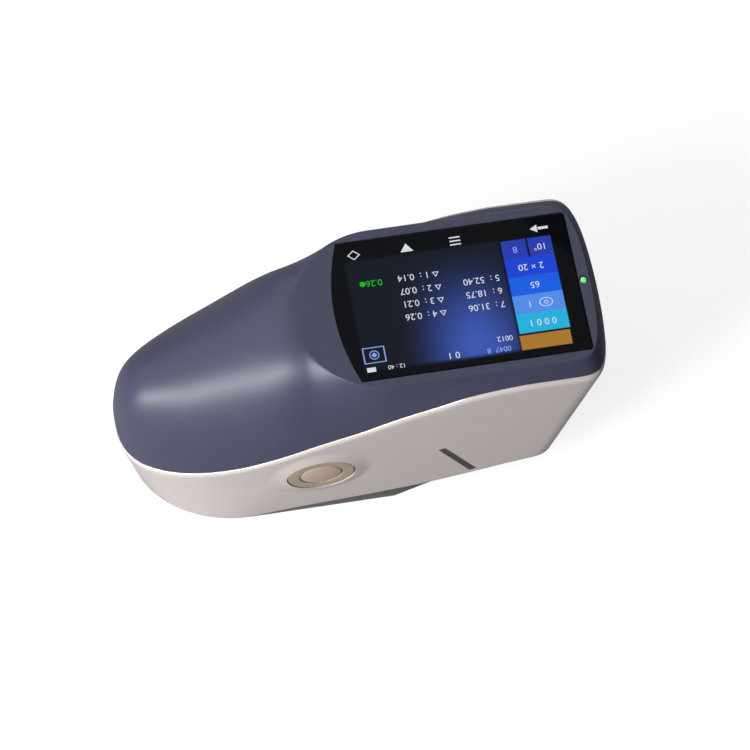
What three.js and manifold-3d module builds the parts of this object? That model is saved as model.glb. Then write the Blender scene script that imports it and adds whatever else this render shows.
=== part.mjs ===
// Portable spectrophotometer with a sphere head, a handle and a touch screen.
// Units are millimetres. X points to the nose, Y to the side away from the measure button, Z up.
// The origin is on the table, under the middle of the body.

import * as THREE from 'three';
import { mergeVertices } from 'three/addons/utils/BufferGeometryUtils.js';
import Module from 'manifold-3d';

const wasm = await Module();
wasm.setup();

// Overall sizes of the body
const bodyLength = 187;
const bodyWidth = 78.2;
const bodyHeight = 105;

// How the walls lean: each value is how far the foot stands in from the widest line
const sideToeIn = 4.2;
const tailToeIn = 6.5;
const noseToeIn = 17.3;
const noseEdgeHeight = 98;
const tailEdgeHeight = 34;

// Plan outline: the tail narrows over a long run, the nose over a short one
const tailTaperAtEdge = 66;
const tailTaperAtFoot = 42.5;
const noseRun = 18;
const tailBow = 2;
const tailFillAtEdge = 2.7;
const tailFillAtFoot = 2;
const noseBow = 5;
const noseFill = 2.6;

// Walls and gaps
const shellWall = 2.4;
const coverWall = 2.4;
const floorWall = 2.4;
const seatGap = 0.3;
const cutOverrun = 8;

// Base
const baseClearance = 0.8;
const baseInset = 0.4;

// Flat top with the screen
const creaseTail = -24.3;
const creaseArcRun = 34.3;
const creaseNose = 90.3;
const creaseHalfWidth = 33.3;
const archFullness = 2.8;

// Heights along the body, as shares of its length and height, measured from the tail
const partingShares = [
  [0, 0.337], [0.039, 0.354], [0.076, 0.374], [0.155, 0.427], [0.235, 0.493], [0.316, 0.572],
  [0.397, 0.648], [0.478, 0.716], [0.558, 0.797], [0.639, 0.863], [0.698, 0.912], [0.76, 0.937],
  [0.821, 0.949], [1, 0.945],
];
const shellFootShares = [
  [0, 0.0135], [0.2393, 0.0135], [0.3475, 0.045], [0.4508, 0.064], [0.5836, 0.093], [0.6525, 0.115],
  [0.7312, 0.152], [0.8247, 0.2], [0.9133, 0.231], [1, 0.25],
];
const handleTopShares = [
  [0, 0.345], [0.003, 0.44], [0.01, 0.55], [0.02, 0.625], [0.033, 0.67], [0.055, 0.704],
  [0.1153, 0.756], [0.1792, 0.822], [0.2589, 0.909], [0.3288, 0.973], [0.3701, 1],
];

// Steps of the curved surfaces
const tailSteps = 12;
const noseSteps = 8;
const handleSteps = 10;
const archSteps = 10;
const roundSteps = 32;
const sphereSteps = 20;
const smallRoundSteps = 16;
const screwSteps = 8;
const cornerSteps = 4;

const tailX = -bodyLength / 2;
const noseX = bodyLength / 2;
const half = Math.PI / 2;

// Materials, one to a piece
function finish(color, roughness, metalness = 0) {
  return { color, roughness, metalness };
}
const darkGloss = finish(0x565a6e, 0.32);
const whiteGloss = finish(0xd9d4d0, 0.22);
const greyGloss = finish(0x4a4646, 0.28);
const blackGlass = finish(0x07080a, 0.06);
const beigeMatt = finish(0xb6a795, 0.5);
const blackMatt = finish(0x1d1d1f, 0.6);
const rubberBlack = finish(0x202022, 0.9);
const sphereWhite = finish(0xf2f1ec, 0.8);
const aluminium = finish(0xb4b7ba, 0.4, 0.9);
const steel = finish(0x9a9da1, 0.35, 0.9);
const boardGreen = finish(0x1f5a38, 0.55);
const batteryBlue = finish(0x35507a, 0.5);
const ledGreen = finish(0x9bf0a4, 0.2);
const mirrorCoat = finish(0xd8dce0, 0.08, 1);

// Turns a closed three.js geometry into a solid
function solidOf(source) {
  const geometry = source.index ? source.toNonIndexed() : source.clone();
  for (const name of Object.keys(geometry.attributes)) {
    if (name !== 'position') geometry.deleteAttribute(name);
  }
  const merged = mergeVertices(geometry, mergeTolerance);
  const index = merged.index.array;
  const kept = [];
  for (let i = 0; i < index.length; i += 3) {
    const [a, b, c] = [index[i], index[i + 1], index[i + 2]];
    if (a !== b && b !== c && c !== a) kept.push(a, b, c);
  }
  const mesh = new wasm.Mesh({
    numProp: 3,
    vertProperties: new Float32Array(merged.attributes.position.array),
    triVerts: new Uint32Array(kept),
  });
  return new wasm.Manifold(mesh);
}
const mergeTolerance = 1e-4;

function geometryOf(solid) {
  const mesh = solid.getMesh();
  const geometry = new THREE.BufferGeometry();
  geometry.setAttribute('position', new THREE.BufferAttribute(new Float32Array(mesh.vertProperties), 3));
  geometry.setIndex(new THREE.BufferAttribute(new Uint32Array(mesh.triVerts), 1));
  geometry.computeVertexNormals();
  return geometry;
}

// Joins several solids, or cuts several from one
function joined(first, ...others) {
  return others.reduce((sum, other) => sum.add(other), first);
}
function cut(body, ...tools) {
  return tools.reduce((rest, tool) => rest.subtract(tool), body);
}

// A block between two corners
function block(low, high) {
  const size = high.map((value, axis) => value - low[axis]);
  const geometry = new THREE.BoxGeometry(...size);
  geometry.translate(...low.map((value, axis) => value + size[axis] / 2));
  return solidOf(geometry);
}

// A block given by its middle in X and Y, its plan size, and its lowest and highest level
function slab(x, y, sizeX, sizeY, low, high) {
  return block([x - sizeX / 2, y - sizeY / 2, low], [x + sizeX / 2, y + sizeY / 2, high]);
}

// A round bar about a vertical line
function post(x, y, radius, low, high, steps = smallRoundSteps) {
  const geometry = new THREE.CylinderGeometry(radius, radius, high - low, steps);
  geometry.rotateX(half);
  geometry.translate(x, y, (low + high) / 2);
  return solidOf(geometry);
}

// A profile of [radius, height] points turned about a vertical line; it starts and ends on the axis,
// or closes on itself
function turned(profile, steps = roundSteps) {
  const points = profile.map(([radius, height]) => new THREE.Vector2(radius, height));
  const first = points[0];
  const last = points[points.length - 1];
  if (first.x > 0 && !first.equals(last)) points.push(first.clone());
  const geometry = new THREE.LatheGeometry(points, steps);
  geometry.rotateX(half);
  const solid = solidOf(geometry);
  return solid.volume() < 0 ? solidOf(flipped(geometry)) : solid;
}
function flipped(geometry) {
  const plain = geometry.index ? geometry.toNonIndexed() : geometry;
  const place = plain.attributes.position;
  for (let i = 0; i < place.count; i += 3) {
    const second = new THREE.Vector3().fromBufferAttribute(place, i + 1);
    const third = new THREE.Vector3().fromBufferAttribute(place, i + 2);
    place.setXYZ(i + 1, third.x, third.y, third.z);
    place.setXYZ(i + 2, second.x, second.y, second.z);
  }
  return plain;
}

// A plan outline (a THREE.Shape in X and Y) raised between two levels
function raised(shape, low, high, curveSteps = smallRoundSteps) {
  const geometry = new THREE.ExtrudeGeometry(shape, {
    depth: high - low, bevelEnabled: false, curveSegments: curveSteps,
  });
  geometry.translate(0, 0, low);
  return solidOf(geometry);
}

// A side outline of [x, z] points, as thick as width across Y
function sidePlate(points, width) {
  const shape = new THREE.Shape(points.map(([x, z]) => new THREE.Vector2(x, z)));
  const geometry = new THREE.ExtrudeGeometry(shape, { depth: width, bevelEnabled: false });
  geometry.rotateX(half);
  geometry.translate(0, width / 2, 0);
  return solidOf(geometry);
}

// A solid through rings of equal count, closed at both ends
function lofted(rings) {
  const count = rings[0].length;
  const places = [];
  const corner = (point) => places.push(...point);
  const middle = (ring) => [0, 1, 2].map((axis) => ring.reduce((sum, p) => sum + p[axis], 0) / count);
  for (let i = 0; i + 1 < rings.length; i += 1) {
    for (let j = 0; j < count; j += 1) {
      const next = (j + 1) % count;
      corner(rings[i][j]);
      corner(rings[i][next]);
      corner(rings[i + 1][next]);
      corner(rings[i][j]);
      corner(rings[i + 1][next]);
      corner(rings[i + 1][j]);
    }
  }
  const firstRing = rings[0];
  const lastRing = rings[rings.length - 1];
  for (let j = 0; j < count; j += 1) {
    const next = (j + 1) % count;
    corner(middle(firstRing));
    corner(firstRing[next]);
    corner(firstRing[j]);
    corner(middle(lastRing));
    corner(lastRing[j]);
    corner(lastRing[next]);
  }
  const geometry = new THREE.BufferGeometry();
  geometry.setAttribute('position', new THREE.Float32BufferAttribute(places, 3));
  const solid = solidOf(geometry);
  return solid.volume() < 0 ? solidOf(flipped(geometry)) : solid;
}

// A smooth rising or falling curve through a table of shares, read at x
function heightAlong(shares, x) {
  const points = shares.map(([along, up]) => [tailX + along * bodyLength, up * bodyHeight]);
  if (x <= points[0][0]) return points[0][1];
  const last = points.length - 1;
  if (x >= points[last][0]) return points[last][1];
  const slopes = points.slice(1).map((p, i) => (p[1] - points[i][1]) / (p[0] - points[i][0]));
  const tangent = points.map((p, i) => {
    if (i === 0) return slopes[0];
    if (i === last) return slopes[last - 1];
    const before = slopes[i - 1];
    const after = slopes[i];
    return before * after <= 0 ? 0 : (2 * before * after) / (before + after);
  });
  const k = points.findIndex((p) => p[0] > x) - 1;
  const width = points[k + 1][0] - points[k][0];
  const t = (x - points[k][0]) / width;
  const lowPart = (1 + 2 * t) * (1 - t) ** 2 * points[k][1] + t * (1 - t) ** 2 * width * tangent[k];
  const highPart = t * t * (3 - 2 * t) * points[k + 1][1] + t * t * (t - 1) * width * tangent[k + 1];
  return lowPart + highPart;
}
const partingHeight = (x) => heightAlong(partingShares, x);
const shellFoot = (x) => heightAlong(shellFootShares, x);
const handleTop = (x) => heightAlong(handleTopShares, x);

// The plan outline at a level: where its sides, tail and nose stand
const upShare = (z, full) => Math.min(Math.max(z / full, 0), 1);
const sideAt = (z) => bodyWidth / 2 - sideToeIn * (1 - upShare(z, noseEdgeHeight));
const tailAt = (z) => tailX + tailToeIn * (1 - upShare(z, tailEdgeHeight));
const noseAt = (z) => noseX - noseToeIn * (1 - upShare(z, noseEdgeHeight));
const taperAt = (z) => tailTaperAtFoot + (tailTaperAtEdge - tailTaperAtFoot) * upShare(z, tailEdgeHeight);
const fillAt = (z) => tailFillAtFoot + (tailFillAtEdge - tailFillAtFoot) * upShare(z, tailEdgeHeight);
const fall = (t, bow, fill) => Math.max(1 - Math.min(Math.max(t, 0), 1) ** bow, 0) ** (1 / fill);

function halfWidth(x, z, inset = 0) {
  const tailPart = (tailAt(z) + inset + taperAt(z) - x) / taperAt(z);
  const nosePart = (x - (noseAt(z) - inset - noseRun)) / noseRun;
  const side = sideAt(z) - inset;
  return side * fall(tailPart, tailBow, fillAt(z)) * fall(nosePart, noseBow, noseFill);
}

// The plan outline at a level as a ring of points, from the tail round the button side
function outlineRing(z, inset) {
  const side = sideAt(z) - inset;
  const halfRing = [];
  for (let i = 0; i <= tailSteps; i += 1) {
    const turn = half * (i / tailSteps);
    const x = tailAt(z) + inset + taperAt(z) * (1 - Math.cos(turn) ** (2 / tailBow));
    halfRing.push([x, side * Math.sin(turn) ** (2 / fillAt(z))]);
  }
  for (let i = 0; i <= noseSteps; i += 1) {
    const turn = half * (1 - i / noseSteps);
    const x = noseAt(z) - inset - noseRun * (1 - Math.cos(turn) ** (2 / noseBow));
    halfRing.push([x, side * Math.sin(turn) ** (2 / noseFill)]);
  }
  const near = halfRing.map(([x, y]) => [x, -y, z]);
  const far = halfRing.slice(1, -1).reverse().map(([x, y]) => [x, y, z]);
  return [...near, ...far];
}

// The body's outline as a leaning prism, from below the foot to above the top
function bodyPrism(inset) {
  const levels = [-cutOverrun, 0, tailEdgeHeight / 2, tailEdgeHeight, noseEdgeHeight, bodyHeight + cutOverrun];
  return lofted(levels.map((z) => outlineRing(z, inset)));
}

// Everything between two heights that change along the body, read at the given stations
const partingSteps = 28;
const runOut = (stations) => [tailX - cutOverrun, ...stations, noseX + cutOverrun];
const partingStations = runOut(Array.from({ length: partingSteps + 1 }, (_, i) =>
  tailX + (i / partingSteps) * bodyLength));
const footStations = runOut(shellFootShares.map(([along]) => tailX + along * bodyLength));
function between(lowAt, highAt, stations) {
  const low = stations.map((x) => [x, lowAt(x)]);
  const high = stations.map((x) => [x, highAt(x)]).reverse();
  return sidePlate([...low, ...high], bodyWidth + 2 * cutOverrun);
}
const farBelow = () => -2 * cutOverrun;
const farAbove = () => bodyHeight + 2 * cutOverrun;

// Half width of the flat screen platform at x; zero on the handle
function creaseWidth(x, inset) {
  const arcCentre = creaseTail + creaseArcRun;
  const arc = fall((arcCentre - x) / (creaseArcRun - inset), 2, 2);
  const nose = fall((x - (creaseNose - inset - noseRun)) / noseRun, noseBow, noseFill);
  return (creaseHalfWidth - inset) * arc * nose;
}

const widestFlatShare = 0.95;

// How high the cover's arch would reach at x if it weren't cut off flat by the platform
const archAt = (share) => 1 - share ** archFullness;
function crownHeight(x, inset, edge, width) {
  if (x < creaseTail + inset) return handleTop(x) - inset;
  if (x > creaseNose - inset) {
    const drop = (x - creaseNose + inset) / (noseX - creaseNose);
    return Math.max(bodyHeight - inset - drop * (bodyHeight - edge), edge + seatGap);
  }
  const flat = Math.min(creaseWidth(x, inset) / width, widestFlatShare);
  return edge + (bodyHeight - inset - edge) / archAt(flat);
}

// One cross-section of the cover: from one foot over the top to the other
function coverSection(x, inset, foot, steps) {
  const edge = partingHeight(x);
  const width = halfWidth(x, Math.max(edge, tailEdgeHeight), inset);
  const crown = Math.max(crownHeight(x, inset, edge, width), edge + seatGap);
  const halfSection = [[width, foot(x)]];
  for (let j = 0; j <= steps; j += 1) {
    const share = Math.cos(half * (j / steps)) ** archCrowding;
    halfSection.push([width * share, edge + (crown - edge) * archAt(share)]);
  }
  const near = halfSection.map(([y, z]) => [x, -y, z]);
  const far = halfSection.slice().reverse().map(([y, z]) => [x, y, z]);
  return [...near, ...far];
}
const archCrowding = 0.6;

// The coarseness thins the steps out, for surfaces inside the body
function coverLoft(inset, foot, coarseness) {
  const from = tailX + inset;
  const to = noseX - inset;
  const stations = [];
  const alongTail = tailSteps / coarseness;
  const alongHandle = handleSteps / coarseness;
  const alongNose = noseSteps / coarseness;
  for (let i = 0; i <= alongTail; i += 1) {
    stations.push(from + tailTaperAtEdge * (1 - Math.cos(half * (i / alongTail))));
  }
  for (let i = 0; i <= alongHandle; i += 1) {
    const turn = half * (i / alongHandle);
    stations.push(creaseTail + inset + (creaseArcRun - inset) * (1 - Math.cos(turn)));
  }
  for (let i = 0; i <= alongNose; i += 1) {
    stations.push(to - noseRun * (1 - Math.sin(half * (i / alongNose)) ** (2 / noseBow)));
  }
  stations.push((creaseTail + creaseArcRun + to - noseRun) / 2, creaseNose - inset);
  stations.sort((a, b) => a - b);
  const kept = stations.filter((x, i) => i === 0 || x - stations[i - 1] > stationSpacing);
  const loft = lofted(kept.map((x) => coverSection(x, inset, foot, archSteps / coarseness)));
  const underPlatform = block([tailX, -bodyWidth, -bodyHeight], [noseX, bodyWidth, bodyHeight - inset]);
  return loft.intersect(underPlatform);
}
const stationSpacing = 0.25;

// Screen glass: a rectangle whose handle end bulges outwards
const glassTail = -2.8;
const glassNose = 85.6;
const glassHalfWidth = 29.1;
const glassBulge = 5.5;
const glassCorner = 1.5;
const glassThickness = 1.4;
const windowTail = -2;
const windowNose = 79;
const windowHalfWidth = 28.2;
const glassRecess = 0.1;

function glassOutline(margin) {
  const [tail, nose] = [glassTail - margin, glassNose + margin];
  const side = glassHalfWidth + margin;
  const shape = new THREE.Shape();
  shape.moveTo(tail, -side);
  shape.lineTo(nose - glassCorner, -side);
  shape.quadraticCurveTo(nose, -side, nose, glassCorner - side);
  shape.lineTo(nose, side - glassCorner);
  shape.quadraticCurveTo(nose, side, nose - glassCorner, side);
  shape.lineTo(tail, side);
  shape.quadraticCurveTo(tail - 2 * glassBulge, 0, tail, -side);
  return shape;
}
const glassTop = bodyHeight - glassRecess;
const glassSeat = glassTop - glassThickness;
const screenGlass = () => raised(glassOutline(0), glassSeat, glassTop);

// Display module under the glass
const displayThickness = 3.2;
const displayTop = glassSeat - seatGap;
const displayFoot = displayTop - displayThickness;
const displayMiddle = (windowTail + windowNose) / 2;
const displayLength = windowNose - windowTail - 2 * seatGap;
const displayModule = () =>
  slab(displayMiddle, 0, displayLength, 2 * (windowHalfWidth - seatGap), displayFoot, displayTop);

// Status light on the strip between the glass and the nose
const ledX = 87.8;
const ledRadius = 1.5;
const ledLength = 2.6;
const ledCrown = 0.35;
function ledLens() {
  return turned([
    [0, bodyHeight - ledLength], [ledRadius, bodyHeight - ledLength], [ledRadius, bodyHeight - ledCrown],
    [ledRadius / 2, bodyHeight - ledCrown / 4], [0, bodyHeight],
  ], smallRoundSteps).translate([ledX, 0, 0]);
}

// Top cover: the handle, the platform and the bevels, as one thin moulding
const lipDepth = 3;
const lipThickness = 1.2;
function topCover() {
  const foot = (x) => partingHeight(x) - cutOverrun;
  const aboveShell = between((x) => partingHeight(x) + seatGap / 2, farAbove, partingStations);
  const outer = coverLoft(0, foot, 1).intersect(aboveShell);
  const inner = coverLoft(coverWall, (x) => foot(x) - cutOverrun, 2);
  const glassPocket = raised(glassOutline(seatGap), glassSeat - seatGap, bodyHeight + cutOverrun);
  const window = slab(displayMiddle, 0, windowNose - windowTail, 2 * windowHalfWidth,
    glassSeat - cutOverrun, bodyHeight);
  const ledHole = post(ledX, 0, ledRadius + seatGap, noseEdgeHeight - cutOverrun, bodyHeight + cutOverrun);
  const lipInset = shellWall + seatGap;
  const lipBand = between((x) => partingHeight(x) - lipDepth, (x) => partingHeight(x) + lipThickness,
    partingStations);
  const lip = bodyPrism(lipInset).intersect(lipBand);
  const root = bodyPrism(lipInset / 2).intersect(lipBand).intersect(aboveShell);
  const ring = cut(joined(lip, root), bodyPrism(lipInset + lipThickness));
  return cut(joined(cut(outer, inner), ring), glassPocket, window, ledHole);
}

// Measure button on the side wall: a beige ring with a smaller cap inside it.
// Heights along its axis are measured outwards from the wall.
const buttonX = -17.8;
const buttonZ = 41;
const ringRadius = 13.3;
const capRadius = 8.2;
const ringFlangeRadius = 15.3;
const ringFlangeDepth = 1.4;
const ringRise = 1;
const ringEdge = 0.7;
const capCrown = 0.5;
const capFlangeRadius = 9.8;
const capFlangeDepth = 0.9;
const capStemRadius = 2;
const capStemEnd = 7.6;
const buttonTravel = 1.2;
const dishRadius = 19;
const dishDepth = 0.9;
const dishOverrun = 2;
const dishSteps = 4;
const ringFlangeSeat = shellWall + seatGap;
const buttonWallY = -sideAt(buttonZ);
const sideLean = Math.atan2(sideToeIn, noseEdgeHeight) * (180 / Math.PI);

// Places a solid built about a vertical axis on the button's axis, its top facing out of the wall
function onButtonAxis(solid) {
  return solid.rotate([90 + sideLean, 0, 0]).translate([buttonX, buttonWallY, buttonZ]);
}
function buttonBezel() {
  const inner = capRadius + seatGap;
  const foot = -ringFlangeSeat - ringFlangeDepth;
  const middle = (inner + ringRadius) / 2;
  return onButtonAxis(turned([
    [inner, foot], [ringFlangeRadius, foot], [ringFlangeRadius, -ringFlangeSeat],
    [ringRadius, -ringFlangeSeat], [ringRadius, ringRise - ringEdge],
    [ringRadius - ringEdge / 2, ringRise - ringEdge / 4], [middle, ringRise],
    [inner + ringEdge / 2, ringRise - ringEdge / 4], [inner, ringRise - ringEdge],
  ]));
}
function measureButton() {
  const rear = -ringFlangeSeat - ringFlangeDepth - seatGap;
  return onButtonAxis(turned([
    [0, -capStemEnd], [capStemRadius, -capStemEnd], [capStemRadius, rear - capFlangeDepth],
    [capFlangeRadius, rear - capFlangeDepth], [capFlangeRadius, rear], [capRadius, rear],
    [capRadius, ringRise - ringEdge], [capRadius - ringEdge, ringRise], [capRadius / 2, ringRise + capCrown / 2],
    [0, ringRise + capCrown],
  ]));
}

// Switch under the button, on its own small board
const switchSize = 6;
const switchHeight = 3.2;
const switchPlungerRadius = 1.6;
const switchPlungerRise = 1;
const boardThickness = 1.6;
const buttonBoardWidth = 26;
const buttonBoardHeight = 22;
const switchTop = buttonWallY + capStemEnd + buttonTravel + seatGap;
const switchFoot = switchTop + switchPlungerRise + switchHeight;
const buttonBoardFace = switchFoot + seatGap;
function buttonSwitch() {
  const body = block(
    [buttonX - switchSize / 2, switchTop + switchPlungerRise, buttonZ - switchSize / 2],
    [buttonX + switchSize / 2, switchFoot, buttonZ + switchSize / 2],
  );
  const plunger = post(0, 0, switchPlungerRadius, 0, 2 * switchPlungerRise)
    .rotate([90, 0, 0]).translate([buttonX, switchTop + 2 * switchPlungerRise, buttonZ]);
  return joined(body, plunger);
}
function buttonBoard() {
  return block(
    [buttonX - buttonBoardWidth / 2, buttonBoardFace, buttonZ - buttonBoardHeight / 2],
    [buttonX + buttonBoardWidth / 2, buttonBoardFace + boardThickness, buttonZ + buttonBoardHeight / 2],
  );
}

// Slanted mark on the wall, set flush in a groove; it points to the measuring port
const markLowX = 44.3;
const markLowZ = 19.4;
const markHighX = 29.7;
const markHighZ = 47.3;
const markWidth = 2.6;
const markDepth = 0.8;
function markPlate(margin, depth) {
  const along = new THREE.Vector2(markHighX - markLowX, markHighZ - markLowZ);
  const middleX = (markLowX + markHighX) / 2;
  const middleZ = (markLowZ + markHighZ) / 2;
  const wallY = -sideAt(middleZ);
  const lean = Math.atan2(along.x, along.y) * (180 / Math.PI);
  const geometry = new THREE.BoxGeometry(markWidth + 2 * margin, depth, along.length() + 2 * margin);
  return solidOf(geometry).rotate([0, lean, 0]).rotate([sideLean, 0, 0]).translate([middleX, wallY, middleZ]);
}
const markSink = 0.05;
const portMark = () => markPlate(0, 2 * (markDepth - seatGap)).intersect(bodyPrism(markSink));

// Power switch and data socket on the far wall
const ioBoardX = -18;
const ioBoardZ = 32;
const ioBoardWidth = 34;
const ioBoardHeight = 20;
const socketX = -26;
const socketWidth = 9;
const socketHeight = 3.6;
const socketWall = 0.5;
const socketDepth = 6;
const switchKnobX = -8;
const switchKnobLength = 4;
const switchKnobHeight = 3;
const switchKnobTravel = 3;
const switchBodyLength = 13;
const switchBodyHeight = 6;
const switchBodyDepth = 6;
const switchKnobStand = 0.8;
const ioWallY = sideAt(ioBoardZ);
const ioBoardFace = 23.2;
function dataSocket() {
  const face = ioWallY - socketWall;
  const outer = block(
    [socketX - socketWidth / 2, ioBoardFace + seatGap, ioBoardZ - socketHeight / 2],
    [socketX + socketWidth / 2, face, ioBoardZ + socketHeight / 2],
  );
  const mouth = block(
    [socketX - socketWidth / 2 + socketWall, face - socketDepth, ioBoardZ - socketHeight / 2 + socketWall],
    [socketX + socketWidth / 2 - socketWall, face + cutOverrun, ioBoardZ + socketHeight / 2 - socketWall],
  );
  const tongue = block(
    [socketX - socketWidth / 4, face - socketDepth, ioBoardZ - socketWall],
    [socketX + socketWidth / 4, face - socketWall, ioBoardZ + socketWall],
  );
  return joined(cut(outer, mouth), tongue);
}
function powerSwitchBody() {
  const outer = block(
    [switchKnobX - switchBodyLength / 2, ioBoardFace + seatGap, ioBoardZ - switchBodyHeight / 2],
    [switchKnobX + switchBodyLength / 2, ioBoardFace + switchBodyDepth, ioBoardZ + switchBodyHeight / 2],
  );
  return cut(outer, block(
    [switchKnobX - switchKnobLength / 2 - switchKnobTravel / 2 - seatGap,
      ioBoardFace + switchBodyDepth / 2, ioBoardZ - switchKnobHeight / 2 - seatGap],
    [switchKnobX + switchKnobLength / 2 + switchKnobTravel / 2 + seatGap,
      ioBoardFace + switchBodyDepth + cutOverrun, ioBoardZ + switchKnobHeight / 2 + seatGap],
  ));
}
function powerSwitchKnob() {
  const middle = switchKnobX - switchKnobTravel / 2;
  const knob = block(
    [middle - switchKnobLength / 2, ioBoardFace + switchBodyDepth / 2 + seatGap, ioBoardZ - switchKnobHeight / 2],
    [middle + switchKnobLength / 2, ioWallY + switchKnobStand, ioBoardZ + switchKnobHeight / 2],
  );
  const groove = (x) => block(
    [x - switchKnobLength / 12, ioWallY + switchKnobStand / 2, ioBoardZ - switchKnobHeight],
    [x + switchKnobLength / 12, ioWallY + switchKnobStand + cutOverrun, ioBoardZ + switchKnobHeight],
  );
  return cut(knob, groove(middle - switchKnobLength / 4), groove(middle), groove(middle + switchKnobLength / 4));
}
function ioBoard() {
  return block(
    [ioBoardX - ioBoardWidth / 2, ioBoardFace - boardThickness, ioBoardZ - ioBoardHeight / 2],
    [ioBoardX + ioBoardWidth / 2, ioBoardFace, ioBoardZ + ioBoardHeight / 2],
  );
}

// White body shell: the side walls, the tail and the leaning nose, open above and below
function bodyShell() {
  const aboveFoot = between(shellFoot, farAbove, footStations);
  const underCover = between(farBelow, (x) => partingHeight(x) - seatGap / 2, partingStations);
  const wall = bodyPrism(0).intersect(aboveFoot).intersect(underCover);
  const dishBall = (dishRadius ** 2 + dishDepth ** 2) / (2 * dishDepth);
  const dishProfile = [[0, -dishDepth]];
  for (let i = 1; i <= dishSteps; i += 1) {
    const radius = (i / dishSteps) * (dishRadius + dishOverrun);
    dishProfile.push([radius, dishBall - dishDepth - Math.sqrt(dishBall ** 2 - radius ** 2)]);
  }
  const dish = onButtonAxis(turned([...dishProfile, [dishRadius + dishOverrun, cutOverrun], [0, cutOverrun]]));
  const buttonHole = onButtonAxis(post(0, 0, ringRadius + seatGap, -cutOverrun, cutOverrun, roundSteps));
  const socketHole = block(
    [socketX - socketWidth / 2 - seatGap, 0, ioBoardZ - socketHeight / 2 - seatGap],
    [socketX + socketWidth / 2 + seatGap, ioWallY + cutOverrun, ioBoardZ + socketHeight / 2 + seatGap],
  );
  const knobSlot = block(
    [switchKnobX - switchKnobLength / 2 - switchKnobTravel / 2 - seatGap, 0,
      ioBoardZ - switchKnobHeight / 2 - seatGap],
    [switchKnobX + switchKnobLength / 2 + switchKnobTravel / 2 + seatGap, ioWallY + cutOverrun,
      ioBoardZ + switchKnobHeight / 2 + seatGap],
  );
  return cut(wall, bodyPrism(shellWall), dish, buttonHole, socketHole, knobSlot, markPlate(seatGap / 2, 2 * markDepth));
}

// Base cover: a tray whose side grows towards the middle and whose nose end narrows to a round snout
const portX = 52;
const snoutRadius = 24.5;
const snoutStart = 14;
const plugRise = 2.4;
const portFlangeRadius = 19;
const portFlangeDepth = 1.6;
const portNeckRadius = 15;
const portBore = 12;
const portHeight = 6;
const batteryX = -40;
const batteryLength = 52;
const batteryWidth = 34;
const batteryHeight = 18;
const bayLedge = 1;
const doorThickness = 2;
const doorLip = 4;
const ledgeThickness = 1.8;
const doorScrewInset = 3.4;
const doorScrewLength = 4;
const footX = -75;
const footY = 13;
const footRadius = 4.5;
const footSink = 1.2;

// Plan of the nose half of the base: from the full width into a half circle about the port
function snoutPlan(sideInset, snoutInset) {
  const shape = new THREE.Shape();
  const shoulder = sideAt(0) - sideInset;
  const radius = snoutRadius - snoutInset;
  const lean = Math.atan2(shoulder - radius, portX - snoutStart);
  shape.moveTo(snoutStart - seatGap, -shoulder);
  shape.lineTo(snoutStart, -shoulder);
  shape.absarc(portX, 0, radius, lean - half, half - lean, false);
  shape.lineTo(snoutStart, shoulder);
  shape.lineTo(snoutStart - seatGap, shoulder);
  return shape;
}
const floorTop = baseClearance + floorWall;
const shoulderFoot = (x) => Math.max(shellFoot(x), baseClearance);
const shoulderTop = (x) => shoulderFoot(x) + floorWall - seatGap;
const doorLength = batteryLength + 2 * bayLedge;
const doorWidth = batteryWidth + 2 * bayLedge;
const doorScrewX = batteryX + doorLength / 2 - doorScrewInset;
const ledgeFoot = baseClearance + doorThickness + seatGap;
const ledgeTop = ledgeFoot + ledgeThickness;
const screwRadius = 1.2;
const screwHeadRadius = 2.3;
const screwHeadDepth = 1.3;
const screwLength = 8;
const legSize = 5;
const legTailX = 3;
const legNoseX = 70.5;
const legY = 22;

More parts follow.
